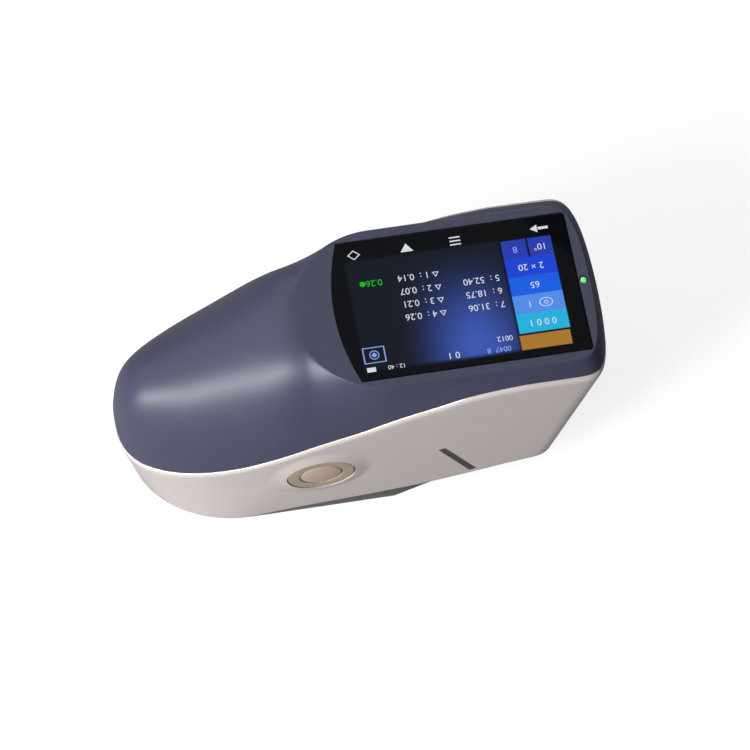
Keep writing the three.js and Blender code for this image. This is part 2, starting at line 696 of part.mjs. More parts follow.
// What lies under a plan: the body's outline in the tail half, the snout in the nose half
function basePlan(sideInset, snoutInset, low) {
  const tailHalf = slab(tailX, 0, 2 * (snoutStart - tailX), bodyWidth, low, bodyHeight);
  return joined(
    bodyPrism(sideInset).intersect(tailHalf),
    raised(snoutPlan(sideInset, snoutInset), low, bodyHeight, roundSteps / 2),
  );
}
function baseCover() {
  const plugInset = shellWall + seatGap;
  const innerInset = plugInset + floorWall;
  const shellLine = (x) => Math.max(shellFoot(x) - seatGap, baseClearance + seatGap);
  const wedge = basePlan(baseInset, 0, baseClearance).intersect(between(farBelow, shellLine, footStations));
  const plugBand = between((x) => shellLine(x) - seatGap, (x) => shoulderFoot(x) + plugRise, footStations);
  const plug = bodyPrism(plugInset).intersect(plugBand);
  const hollowAbove = bodyPrism(innerInset).intersect(between(shoulderTop, farAbove, footStations));
  const trayHollow = basePlan(innerInset, floorWall, floorTop);
  const frame = slab(batteryX, 0, doorLength + 2 * doorLip, doorWidth + 2 * doorLip, baseClearance, ledgeTop);
  const portBoss = post(portX, 0, portFlangeRadius + floorWall, baseClearance, portHeight - seatGap, roundSteps);
  let body = joined(cut(joined(wedge, plug), hollowAbove, trayHollow), frame, portBoss);
  const bay = slab(batteryX, 0, doorLength, doorWidth, -cutOverrun, ledgeFoot);
  const bayOpening = slab(batteryX, 0, doorLength - 2 * doorLip, doorWidth - 2 * doorLip, -cutOverrun, bodyHeight);
  const flangeSeat = post(portX, 0, portFlangeRadius + seatGap, -cutOverrun, portFlangeDepth + seatGap, roundSteps);
  const portHole = post(portX, 0, portNeckRadius + seatGap, -cutOverrun, bodyHeight / 2, roundSteps);
  const doorScrewHole = post(doorScrewX, 0, screwRadius + seatGap, -cutOverrun, ledgeTop + seatGap);
  body = cut(body, bay, bayOpening, flangeSeat, portHole, doorScrewHole);
  for (const side of [-1, 1]) {
    body = cut(
      body,
      post(footX, side * footY, footRadius + seatGap, -cutOverrun, baseClearance + footSink),
      post(legTailX, side * legY, screwRadius + seatGap, -cutOverrun, bodyHeight / 2),
      post(legTailX, side * legY, screwHeadRadius + seatGap, -cutOverrun, baseClearance + screwHeadDepth),
    );
  }
  return body;
}
const rubberFoot = (side) => post(footX, side * footY, footRadius, 0, baseClearance + footSink - seatGap);

function batteryCover() {
  const plate = slab(batteryX, 0, doorLength - 2 * seatGap, doorWidth - 2 * seatGap,
    baseClearance, baseClearance + doorThickness);
  const grip = slab(batteryX - doorLength / 4, 0, doorLength / 8, doorWidth / 4,
    -cutOverrun, baseClearance + doorThickness / 3);
  const headSeat = post(doorScrewX, 0, screwHeadRadius + seatGap, -cutOverrun, baseClearance + screwHeadDepth);
  const hole = post(doorScrewX, 0, screwRadius + seatGap, -cutOverrun, cutOverrun);
  return cut(plate, grip, headSeat, hole);
}
const batteryFoot = ledgeTop + seatGap;
const batteryRound = 3;
function batteryPack() {
  const shape = new THREE.Shape();
  const [x, y] = [batteryLength / 2, batteryWidth / 2];
  shape.moveTo(batteryX - x + batteryRound, -y);
  shape.absarc(batteryX + x - batteryRound, batteryRound - y, batteryRound, -half, 0, false);
  shape.absarc(batteryX + x - batteryRound, y - batteryRound, batteryRound, 0, half, false);
  shape.absarc(batteryX - x + batteryRound, y - batteryRound, batteryRound, half, 2 * half, false);
  shape.absarc(batteryX - x + batteryRound, batteryRound - y, batteryRound, 2 * half, 3 * half, false);
  return raised(shape, batteryFoot, batteryFoot + batteryHeight, cornerSteps);
}

// Measuring port: a ring in the base and a turning insert with the measuring hole
const apertureRadius = 4;
const insertRadius = 11.6;
const insertRise = 0.3;
const insertHeight = 5;
const insertFace = 1.2;
const insertDish = 9;
const lugReach = 1;
const lugHeight = 1.4;
const lugLow = 2.9;
const lugWidth = 4;
const lugCount = 3;
const insertTurn = 40;
function radialBlocks(count, inner, outer, width, low, high, startAngle) {
  const pieces = [];
  for (let i = 0; i < count; i += 1) {
    const bar = block([inner, -width / 2, low], [outer, width / 2, high]);
    pieces.push(bar.rotate([0, 0, startAngle + i * (360 / count)]).translate([portX, 0, 0]));
  }
  return pieces;
}
function portRing() {
  const neckTop = portHeight;
  const ring = turned([
    [portBore, 0], [portFlangeRadius, 0], [portFlangeRadius, portFlangeDepth],
    [portNeckRadius, portFlangeDepth], [portNeckRadius, neckTop], [portBore, neckTop],
    [portBore, lugLow + lugHeight + seatGap], [portBore + lugReach, lugLow + lugHeight + seatGap],
    [portBore + lugReach, lugLow - seatGap], [portBore, lugLow - seatGap],
  ]).translate([portX, 0, 0]);
  const slots = radialBlocks(lugCount, 0, portBore + lugReach, lugWidth + 2 * seatGap,
    -cutOverrun, lugLow + lugHeight, insertTurn);
  return cut(ring, ...slots);
}
function apertureInsert() {
  const disc = turned([
    [apertureRadius, insertRise], [insertRadius, insertRise], [insertRadius, insertRise + insertHeight],
    [insertDish, insertRise + insertHeight], [apertureRadius, insertRise + insertFace],
  ]).translate([portX, 0, 0]);
  const lugs = radialBlocks(lugCount, insertDish + (insertRadius - insertDish) / 2, portBore + lugReach - seatGap,
    lugWidth, lugLow, lugLow + lugHeight, 0);
  const grip = (side) => slab(portX, side * (insertRadius + apertureRadius) / 2, lugWidth, lugReach,
    -cutOverrun, insertRise + insertFace / 2);
  return cut(joined(disc, ...lugs), grip(-1), grip(1));
}

// Measuring sphere in two halves, screwed together at a flange
const sphereRadius = 18.5;
const sphereWall = 2.5;
const sphereFlange = 23.6;
const flangeThickness = 2.4;
const sphereZ = 29;
const spherePort = 9;
const opticTilt = 8;
const tubeSocketRadius = 8.5;
const tubeRadius = 5.5;
const tubeBore = 4;
const tubeLength = 22;
const socketRise = 4;
const lampLength = 7;
const lampRadius = 2.6;
const sphereOuter = sphereRadius + sphereWall;
const flangeScrewRing = (sphereOuter + sphereFlange) / 2;
const flangeScrewRadius = 0.9;

function hollowBall() {
  const outer = solidOf(new THREE.SphereGeometry(sphereOuter, sphereSteps, sphereSteps / 2));
  const flange = post(0, 0, sphereFlange, -flangeThickness, flangeThickness, roundSteps);
  const inner = solidOf(new THREE.SphereGeometry(sphereRadius, sphereSteps, sphereSteps / 2));
  return { outer: joined(outer, flange), inner };
}
const tiltedPost = (radius, low, high, degrees, steps = smallRoundSteps) =>
  post(0, 0, radius, low, high, steps).rotate([0, degrees, 0]);
function flangeHoles() {
  const holes = [];
  for (let i = 0; i < 4; i += 1) {
    const angle = half * (i + 0.5);
    holes.push(post(flangeScrewRing * Math.cos(angle), flangeScrewRing * Math.sin(angle), flangeScrewRadius,
      -cutOverrun, cutOverrun, screwSteps));
  }
  return holes;
}
function sphereUpper() {
  const ball = hollowBall();
  const sockets = joined(
    tiltedPost(tubeSocketRadius, sphereRadius, sphereOuter + socketRise, -opticTilt),
    tiltedPost(tubeSocketRadius / 2, sphereRadius, sphereOuter + socketRise, 4 * opticTilt),
  );
  const keep = slab(0, 0, 4 * sphereOuter, 4 * sphereOuter, seatGap / 2, 4 * sphereOuter);
  const body = cut(
    joined(ball.outer, sockets), ball.inner,
    tiltedPost(tubeBore, 0, 2 * sphereOuter, -opticTilt),
    tiltedPost(tubeRadius + seatGap, sphereOuter, 2 * sphereOuter, -opticTilt),
    tiltedPost(lampRadius + seatGap, 0, 2 * sphereOuter, 4 * opticTilt),
    ...flangeHoles(),
  );
  return body.intersect(keep).translate([portX, 0, sphereZ]);
}
function sphereLower() {
  const ball = hollowBall();
  const foot = portHeight + seatGap - sphereZ;
  const neck = post(0, 0, portNeckRadius, foot, -sphereRadius / 2, roundSteps);
  const keep = slab(0, 0, 4 * sphereOuter, 4 * sphereOuter, foot, -seatGap / 2);
  const body = cut(joined(ball.outer, neck), ball.inner,
    post(0, 0, spherePort, 2 * foot, 0, roundSteps), ...flangeHoles());
  return body.intersect(keep).translate([portX, 0, sphereZ]);
}

// Lens tube from the sphere up to the spectrometer, leaning by the viewing angle
const tubeFoot = sphereOuter + seatGap;
const tubeTop = tubeFoot + tubeLength;
function lensTube() {
  return turned([
    [tubeBore, tubeFoot], [tubeRadius, tubeFoot], [tubeRadius, tubeTop], [tubeBore, tubeTop],
  ], smallRoundSteps).rotate([0, -opticTilt, 0]).translate([portX, 0, sphereZ]);
}

// Lamp in its tube on the sphere
function lamp() {
  return tiltedPost(lampRadius, sphereOuter + socketRise - lampLength / 2, sphereOuter + socketRise + lampLength / 2,
    4 * opticTilt).translate([portX, 0, sphereZ]);
}

// Chassis: a plate over the sphere on four legs, with a flange for each side board
const chassisZ = 60;
const chassisThickness = 2;
const chassisTail = -36;
const chassisNose = 76;
const chassisHalfWidth = 30;
const chassisNarrow = 22;
const flangePlate = 1.6;
const flangeDrop = 30;
const tubeClearance = 3;
const opticBoxX = 34;
const opticBoxLength = 54;
const opticBoxWidth = 40;
const opticBoxHeight = 13;
const opticBoxWall = 2.4;
const pillarRadius = 3;
const stackScrewRadius = 1;
const cosTilt = Math.cos(opticTilt * Math.PI / 180);
const sinTilt = Math.sin(opticTilt * Math.PI / 180);
const opticBoxFoot = sphereZ + tubeTop * cosTilt + tubeRadius * sinTilt + seatGap;
const opticBoxTop = opticBoxFoot + opticBoxHeight;
const opticCorners = [[-1, -1], [1, -1], [1, 1], [-1, 1]].map(([a, b]) => [
  opticBoxX + a * (opticBoxLength / 2 - pillarRadius), b * (opticBoxWidth / 2 - pillarRadius),
]);
function chassis() {
  const shape = new THREE.Shape();
  shape.moveTo(chassisTail, -chassisNarrow);
  shape.lineTo(0, -chassisHalfWidth);
  shape.lineTo(chassisNose, -chassisHalfWidth);
  shape.lineTo(chassisNose, chassisHalfWidth);
  shape.lineTo(0, chassisHalfWidth);
  shape.lineTo(chassisTail, chassisNarrow);
  let body = raised(shape, chassisZ - chassisThickness, chassisZ);
  const tubeAt = portX - (chassisZ - sphereZ) * Math.tan(opticTilt * Math.PI / 180);
  const noseLegFoot = shoulderTop(legNoseX + legSize / 2) + seatGap;
  for (const side of [-1, 1]) {
    body = joined(
      body,
      slab(legTailX, side * legY, legSize, legSize, floorTop + seatGap, chassisZ - chassisThickness / 2),
      slab(legNoseX, side * legY, legSize, legSize, noseLegFoot, chassisZ - chassisThickness / 2),
    );
  }
  for (const [x, y] of opticCorners) {
    body = joined(body, post(x, y, pillarRadius, chassisZ - chassisThickness / 2, opticBoxFoot - seatGap));
  }
  const nearFlange = block(
    [buttonX - buttonBoardWidth / 2, buttonBoardFace + boardThickness + seatGap, chassisZ - flangeDrop],
    [buttonX + buttonBoardWidth / 2, buttonBoardFace + boardThickness + seatGap + flangePlate,
      chassisZ - chassisThickness / 2],
  );
  const farFlange = block(
    [ioBoardX - ioBoardWidth / 2, ioBoardFace - boardThickness - seatGap - flangePlate, chassisZ - flangeDrop],
    [ioBoardX + ioBoardWidth / 2, ioBoardFace - boardThickness - seatGap, chassisZ - chassisThickness / 2],
  );
  body = joined(body, nearFlange, farFlange);
  body = cut(body, post(tubeAt, 0, tubeRadius + tubeClearance, 0, bodyHeight, roundSteps), ...stackHoles());
  for (const side of [-1, 1]) {
    body = cut(body, post(legTailX, side * legY, screwRadius + seatGap, 0, floorTop + screwLength));
  }
  return body;
}

// Spectrometer: an open box with its grating, entrance slit and sensor, closed by a lid
const slitSize = 12;
const slitThickness = 0.8;
const slitWidth = 0.8;
const gratingWidth = 18;
const gratingHeight = 9;
const gratingThickness = 5;
const gratingSag = 1.2;
const sensorWidth = 26;
const sensorHeight = 9;
const lidThickness = 2;
const tubeEndX = portX - tubeTop * sinTilt;
function opticBox() {
  const outer = slab(opticBoxX, 0, opticBoxLength, opticBoxWidth, opticBoxFoot, opticBoxTop);
  const inner = slab(opticBoxX, 0, opticBoxLength - 2 * opticBoxWall, opticBoxWidth - 2 * opticBoxWall,
    opticBoxFoot + opticBoxWall, opticBoxTop + cutOverrun);
  const bosses = opticCorners.map(([x, y]) => post(x, y, pillarRadius, opticBoxFoot, opticBoxTop));
  return cut(joined(cut(outer, inner), ...bosses), post(tubeEndX, 0, tubeBore, 0, bodyHeight), ...stackHoles());
}
const opticFloor = opticBoxFoot + opticBoxWall;
const opticLid = () => cut(slab(opticBoxX, 0, opticBoxLength, opticBoxWidth,
  opticBoxTop + seatGap, opticBoxTop + seatGap + lidThickness), ...stackHoles());
function slitPlate() {
  const plate = slab(tubeEndX, 0, slitSize, slitSize, opticFloor + seatGap, opticFloor + seatGap + slitThickness);
  return cut(plate, slab(tubeEndX, 0, slitWidth, slitSize / 2, 0, bodyHeight));
}
function grating() {
  const foot = opticFloor + seatGap;
  const back = opticBoxX - opticBoxLength / 2 + opticBoxWall + seatGap;
  const blank = block([back, -gratingWidth / 2, foot], [back + gratingThickness, gratingWidth / 2, foot + gratingHeight]);
  const radius = ((gratingWidth / 2) ** 2 + gratingSag ** 2) / (2 * gratingSag);
  const hollow = post(back + gratingThickness - gratingSag + radius, 0, radius, 0, bodyHeight, 6 * roundSteps);
  return cut(blank, hollow);
}
function sensorBoard() {
  const foot = opticFloor + seatGap;
  const face = opticBoxX + opticBoxLength / 2 - opticBoxWall - seatGap;
  return joined(
    block([face - boardThickness, -sensorWidth / 2, foot], [face, sensorWidth / 2, foot + sensorHeight]),
    block([face - 2 * boardThickness, -sensorWidth / 3, foot + sensorHeight / 3],
      [face - boardThickness / 2, sensorWidth / 3, foot + 2 * sensorHeight / 3]),
  );
}

// Main board over the spectrometer lid, held with it by four long screws
const mainBoardLength = 60;
const mainBoardWidth = 44;
const mainBoardFoot = opticBoxTop + seatGap + lidThickness + seatGap;
const chipSize = 14;
const chipHeight = 1.4;
const plugLength = 10;
const plugHeight = 3;
function mainBoard() {
  const plate = slab(opticBoxX, 0, mainBoardLength, mainBoardWidth, mainBoardFoot, mainBoardFoot + boardThickness);
  const top = mainBoardFoot + boardThickness / 2;
  const chip = slab(opticBoxX, 0, chipSize, chipSize, top, top + chipHeight);
  const memory = slab(opticBoxX - chipSize, chipSize / 2, chipSize / 2, chipSize, top, top + chipHeight);
  const plug = slab(opticBoxX + mainBoardLength / 2 - plugHeight, 0, plugHeight, plugLength, top, top + plugHeight);
  return cut(joined(plate, chip, memory, plug), ...stackHoles());
}

// Screws: a head at level 0 with its slot facing down, and a shank rising from it
function screw(length, headRadius, shankRadius, headDepth) {
  const head = post(0, 0, headRadius, 0, headDepth, screwSteps);
  const shank = post(0, 0, shankRadius, headDepth / 2, length, screwSteps);
  const slot = slab(0, 0, headRadius, shankRadius / 2, -headDepth, headDepth / 2);
  return cut(joined(head, shank), slot);
}
const baseScrewHead = screwHeadDepth - seatGap;
const baseScrew = (side) => screw(screwLength, screwHeadRadius, screwRadius, baseScrewHead)
  .translate([legTailX, side * legY, baseClearance]);
const doorScrew = () => screw(doorScrewLength, screwHeadRadius, screwRadius, baseScrewHead)
  .translate([doorScrewX, 0, baseClearance]);
const flangeScrewHead = 1.5;
const flangeScrewHeadDepth = 1;
function flangeScrew(index) {
  const angle = half * (index + 0.5);
  return screw(flangeScrewHeadDepth + 2 * flangeThickness, flangeScrewHead, flangeScrewRadius - seatGap / 2,
    flangeScrewHeadDepth).rotate([180, 0, 0]).translate([
    portX + flangeScrewRing * Math.cos(angle), flangeScrewRing * Math.sin(angle),
    sphereZ + flangeThickness + flangeScrewHeadDepth + seatGap,
  ]);
}
function stackScrew(index) {
  const [x, y] = opticCorners[index];
  const top = mainBoardFoot + boardThickness + seatGap + flangeScrewHeadDepth;
  return screw(top - chassisZ, flangeScrewHead, stackScrewRadius, flangeScrewHeadDepth)
    .rotate([180, 0, 0]).translate([x, y, top]);
}
const stackHoles = () => opticCorners.map(([x, y]) =>
  post(x, y, stackScrewRadius + seatGap, chassisZ - chassisThickness / 2, bodyHeight - shellWall, screwSteps));

const group = new THREE.Group();
function add(name, solid, look) {
  const mesh = new THREE.Mesh(geometryOf(solid), new THREE.MeshStandardMaterial(look));
  mesh.name = name;
  group.add(mesh);
}

add('top_cover', topCover(), darkGloss);
add('body_shell', bodyShell(), whiteGloss);
add('base_cover', baseCover(), greyGloss);
add('screen_glass', screenGlass(), blackGlass);
add('display_module', displayModule(), blackMatt);
add('led_lens', ledLens(), ledGreen);
add('button_bezel', buttonBezel(), beigeMatt);
add('measure_button', measureButton(), beigeMatt);
add('button_switch', buttonSwitch(), blackMatt);
add('button_board', buttonBoard(), boardGreen);
add('port_mark', portMark(), blackMatt);
add('data_socket', dataSocket(), steel);
add('power_switch_body', powerSwitchBody(), blackMatt);
add('power_switch_knob', powerSwitchKnob(), blackMatt);
add('io_board', ioBoard(), boardGreen);
add('battery_cover', batteryCover(), greyGloss);
add('battery_pack', batteryPack(), batteryBlue);
add('port_ring', portRing(), blackMatt);
add('aperture_insert', apertureInsert(), blackMatt);
add('sphere_lower', sphereLower(), sphereWhite);
add('sphere_upper', sphereUpper(), sphereWhite);
add('lens_tube', lensTube(), aluminium);
add('lamp', lamp(), mirrorCoat);
add('chassis', chassis(), aluminium);
add('spectrometer_box', opticBox(), blackMatt);
add('spectrometer_lid', opticLid(), blackMatt);
add('slit_plate', slitPlate(), steel);
add('grating', grating(), mirrorCoat);
add('sensor_board', sensorBoard(), boardGreen);
add('main_board', mainBoard(), boardGreen);
add('door_screw', doorScrew(), steel);
for (let i = 0; i < opticCorners.length; i += 1) {
  add(`sphere_screw_${i + 1}`, flangeScrew(i), steel);
  add(`stack_screw_${i + 1}`, stackScrew(i), steel);
}
for (const [name, side] of [['near', -1], ['far', 1]]) {
  add(`rubber_foot_${name}`, rubberFoot(side), rubberBlack);
  add(`base_screw_${name}`, baseScrew(side), steel);
}

export default group;
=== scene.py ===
import math

import bpy
from mathutils import Matrix, Vector


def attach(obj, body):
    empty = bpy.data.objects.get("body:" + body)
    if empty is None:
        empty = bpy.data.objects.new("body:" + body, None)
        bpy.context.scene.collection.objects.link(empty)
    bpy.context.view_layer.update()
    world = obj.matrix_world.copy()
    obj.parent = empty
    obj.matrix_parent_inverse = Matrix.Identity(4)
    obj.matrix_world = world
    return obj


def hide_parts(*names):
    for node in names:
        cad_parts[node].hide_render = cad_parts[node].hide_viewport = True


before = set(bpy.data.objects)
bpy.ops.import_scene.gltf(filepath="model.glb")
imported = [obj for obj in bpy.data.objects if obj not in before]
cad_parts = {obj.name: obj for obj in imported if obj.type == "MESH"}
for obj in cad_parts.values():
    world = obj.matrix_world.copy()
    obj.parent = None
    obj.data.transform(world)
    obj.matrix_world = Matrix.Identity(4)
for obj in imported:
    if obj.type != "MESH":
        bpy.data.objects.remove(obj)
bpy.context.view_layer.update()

# The body shell is the warm white side wall of the instrument, one glossy ABS moulding, open above
# and below. Its wall leans outwards as it rises, its tail is round and its nose is blunt.
# It is held between the base tray and the top cover; its rounded upper lip shows under the cover.
mm = 0.001
body_length = 187
body_width = 78.2
body_height = 105
side_toe_in = 4.2
tail_toe_in = 6.5
nose_toe_in = 17.3
nose_edge_height = 98
tail_edge_height = 34
tail_taper_edge = 66
tail_taper_foot = 42.5
nose_run = 18
tail_bow = 2
tail_fill_edge = 2.7
tail_fill_foot = 2
nose_bow = 5
nose_fill = 2.6
wall = 2.4
seat_gap = 0.3
overrun = 8
round_steps = 96
tail_x = -body_length / 2
nose_x = body_length / 2
quarter = math.pi / 2
parting_shares = (
    (0, 0.337), (0.039, 0.354), (0.076, 0.374), (0.155, 0.427), (0.235, 0.493),
    (0.316, 0.572), (0.397, 0.648), (0.478, 0.716), (0.558, 0.797), (0.639, 0.863),
    (0.698, 0.912), (0.76, 0.937), (0.821, 0.949), (1, 0.945),
)
foot_shares = (
    (0, 0.0135), (0.2393, 0.0135), (0.3475, 0.045), (0.4508, 0.064), (0.5836, 0.093),
    (0.6525, 0.115), (0.7312, 0.152), (0.8247, 0.2), (0.9133, 0.231), (1, 0.25),
)


def smooth_table(shares):
    """The table's points in millimetres, each with the slope that keeps the curve from overshooting."""
    points = [(tail_x + along * body_length, up * body_height) for along, up in shares]
    slopes = [(b[1] - a[1]) / (b[0] - a[0]) for a, b in zip(points, points[1:])]
    inner = [0 if a * b <= 0 else 2 * a * b / (a + b) for a, b in zip(slopes, slopes[1:])]
    return [(x, z, slope) for (x, z), slope in zip(points, [slopes[0], *inner, slopes[-1]])]


def height_along(table, x):
    """The height that the table's curve has at x."""
    if x <= table[0][0]:
        return table[0][1]
    for (x0, z0, slope0), (x1, z1, slope1) in zip(table, table[1:]):
        if x < x1:
            run = x1 - x0
            t = (x - x0) / run
            start = (1 + 2 * t) * (1 - t) ** 2 * z0 + t * (1 - t) ** 2 * run * slope0
            return start + t * t * (3 - 2 * t) * z1 + t * t * (t - 1) * run * slope1
    return table[-1][1]


parting_table = smooth_table(parting_shares)
foot_table = smooth_table(foot_shares)


def clamp(value):
    return min(max(value, 0), 1)


def side_at(z):
    """Where the side wall stands at a level. It leans outwards as it rises, as the ends do."""
    return body_width / 2 - side_toe_in * (1 - clamp(z / nose_edge_height))


def tail_at(z):
    return tail_x + tail_toe_in * (1 - clamp(z / tail_edge_height))


def nose_at(z):
    return nose_x - nose_toe_in * (1 - clamp(z / nose_edge_height))


def taper_at(z):
    """How long the tail's round end is at a level."""
    return tail_taper_foot + (tail_taper_edge - tail_taper_foot) * clamp(z / tail_edge_height)


def fill_at(z):
    """How full the tail's curve is at a level: 2 is an ellipse, more is squarer."""
    return tail_fill_foot + (tail_fill_edge - tail_fill_foot) * clamp(z / tail_edge_height)


def outline_point(walk, z, inset):
    """A point of the plan outline at a level. The walk goes from 0 at the tail to 3 at the nose."""
    side = side_at(z) - inset
    tail_end = tail_at(z) + inset + taper_at(z)
    nose_start = nose_at(z) - inset - nose_run
    if walk < 1:
        turn = quarter * walk
        x = tail_end - taper_at(z) * math.cos(turn) ** (2 / tail_bow)
        return x, side * math.sin(turn) ** (2 / fill_at(z))
    if walk <= 2:
        return tail_end + (walk - 1) * (nose_start - tail_end), side
    turn = quarter * (3 - walk)
    x = nose_start + nose_run * math.cos(turn) ** (2 / nose_bow)
    return x, side * math.sin(turn) ** (2 / nose_fill)


def pick(piece):
    """Makes the piece the only selected object, and the active one."""
    bpy.ops.object.select_all(action="DESELECT")
    piece.select_set(True)
    bpy.context.view_layer.objects.active = piece


def primitive(name, add, **sizes):
    """Adds a primitive with nothing else selected."""
    bpy.ops.object.select_all(action="DESELECT")
    add(**sizes)
    bpy.context.object.name = name
    return bpy.context.object


def edited(piece, *steps):
    """Runs edit-mode operators, each with its settings, on the whole piece."""
    pick(piece)
    bpy.ops.object.mode_set(mode="EDIT")
    bpy.ops.mesh.select_all(action="SELECT")
    for operator, settings in steps:
        operator(**settings)
    bpy.ops.object.mode_set(mode="OBJECT")


def modified(piece, kind, **settings):
    """Adds a modifier and applies it."""
    pick(piece)
    modifier = piece.modifiers.new(kind.lower(), kind)
    for name, value in settings.items():
        setattr(modifier, name, value)
    bpy.ops.object.modifier_apply(modifier=modifier.name)


def carved(piece, *cutters):
    """Cuts each cutter out of the piece and removes it."""
    for cutter in cutters:
        modified(piece, "BOOLEAN", operation="DIFFERENCE", solver="EXACT", object=cutter)
        bpy.data.objects.remove(cutter)


def smoothed(piece, degrees=35):
    pick(piece)
    bpy.ops.object.shade_smooth_by_angle(angle=math.radians(degrees))


merge = (bpy.ops.mesh.remove_doubles, {"threshold": 1e-6})
outwards = (bpy.ops.mesh.normals_make_consistent, {"inside": False})


def formed_grid(name, columns, rows, place):
    """A grid of that many steps each way, with every corner moved to place(column, row)."""
    piece = primitive(name, bpy.ops.mesh.primitive_grid_add, x_subdivisions=columns,
                      y_subdivisions=rows, size=2)
    for vertex in piece.data.vertices:
        column = round((vertex.co.x + 1) / 2 * columns)
        row = round((vertex.co.y + 1) / 2 * rows)
        vertex.co = Vector(place(column, row)) * mm
    return piece


def settled(piece, matrix=Matrix.Identity(4)):
    """Turns and moves the piece's mesh, its object left at the origin."""
    piece.matrix_world = matrix @ piece.matrix_world
    pick(piece)
    bpy.ops.object.transform_apply(location=True, rotation=True, scale=True)
    return piece


def block(name, low, high):
    """A block between two corners in millimetres, for cutting."""
    middle = (Vector(low) + Vector(high)) / 2 * mm
    size = (Vector(high) - Vector(low)) * mm
    return settled(primitive(name, bpy.ops.mesh.primitive_cube_add, size=1, location=middle, scale=size))


button_x = -17.8
button_z = 41
ring_radius = 13.3
collar_radius = 19
collar_rise = 1.3
side_lean = math.atan2(side_toe_in, nose_edge_height)
button_frame = (Matrix.Translation(Vector((button_x, -side_at(button_z), button_z)) * mm)
                @ Matrix.Rotation(quarter + side_lean, 4, "X"))
mark_low = Vector((44.3, 19.4))
mark_high = Vector((29.7, 47.3))
mark_width = 2.6
mark_depth = 0.8
socket_x = -26
socket_width = 9
socket_height = 3.6
knob_x = -8
knob_length = 4
knob_height = 3
knob_travel = 3
io_z = 32
lip_inset = 1.6
lip_drop = 2.2
lip_steps = 5
foot_round = 0.5
wall_rows = 44
tail_steps = 44
side_steps = 70
nose_steps = 34
level_rounds = 6

tail_walks = [i / tail_steps for i in range(tail_steps)]
side_walks = [1 + i / side_steps for i in range(side_steps)]
nose_walks = [2 + i / nose_steps for i in range(nose_steps + 1)]
walks = [*tail_walks, *side_walks, *nose_walks]
ring_walks = [(walk, -1) for walk in walks] + [(walk, 1) for walk in walks[-2::-1]]
rounding = [quarter * i / lip_steps for i in range(lip_steps + 1)]
shell_rows = [("foot", foot_round * (1 - math.sin(a)), foot_round * (1 - math.cos(a)))
              for a in reversed(rounding)]
shell_rows += [("wall", i / wall_rows, 0) for i in range(1, wall_rows)]
shell_rows += [("lip", lip_drop * (1 - math.sin(a)), lip_inset * (1 - math.cos(a))) for a in rounding]


def shell_corner(column, row):
    """Where a corner of the shell's outer face stands. Its level and its place along the wall
    depend on each other, so they are found in a few rounds. A collar rises around the button.
    """
    walk, side = ring_walks[column]
    kind, amount, inset = shell_rows[row]
    x = outline_point(walk, body_height / 2, inset)[0]
    for _ in range(level_rounds):
        foot = height_along(foot_table, x)
        top = height_along(parting_table, x) - seat_gap / 2
        if kind == "foot":
            z = foot + amount
        elif kind == "lip":
            z = top - amount
        else:
            z = foot + foot_round + amount * (top - lip_drop - foot - foot_round)
        x, y = outline_point(walk, z, inset)
    reach = (math.hypot(x - button_x, z - button_z) - ring_radius) / (collar_radius - ring_radius)
    collar = collar_rise * (1 - clamp(reach)) if side < 0 else 0
    return x, side * (y + collar), z


shell = formed_grid("shell_wall", len(ring_walks) - 1, len(shell_rows) - 1, shell_corner)
edited(shell, merge)
modified(shell, "SOLIDIFY", thickness=wall * mm, offset=-1, use_even_offset=True)
button_hole = primitive("button_hole", bpy.ops.mesh.primitive_cylinder_add, vertices=round_steps,
                        radius=(ring_radius + seat_gap) * mm, depth=2 * overrun * mm)
settled(button_hole, button_frame)
wall_holes = []
for name, middle_x, length, height in (("socket_hole", socket_x, socket_width, socket_height),
                                       ("knob_hole", knob_x, knob_length + knob_travel, knob_height)):
    reach_x = length / 2 + seat_gap
    reach_z = height / 2 + seat_gap
    wall_holes.append(block(name, (middle_x - reach_x, 0, io_z - reach_z),
                            (middle_x + reach_x, body_width, io_z + reach_z)))
mark_along = mark_high - mark_low
mark_middle = (mark_low + mark_high) / 2
mark_reach = Vector((mark_width + seat_gap, 2 * mark_depth, mark_along.length + seat_gap)) / 2
mark_groove = settled(
    block("mark_groove", -mark_reach, mark_reach),
    Matrix.Translation(Vector((mark_middle.x, -side_at(mark_middle.y), mark_middle.y)) * mm)
    @ Matrix.Rotation(side_lean, 4, "X") @ Matrix.Rotation(math.atan2(mark_along.x, mark_along.y), 4, "Y"))
carved(shell, button_hole, *wall_holes, mark_groove)
smoothed(shell)


def linear(red, green, blue):
    """A screen colour of 0 to 255 as the scene-linear colour that a shader takes."""
    shares = [v / 255 for v in (red, green, blue)]
    return (*(((v + 0.055) / 1.055) ** 2.4 if v > 10 / 255 else v / 12.92 for v in shares), 1)


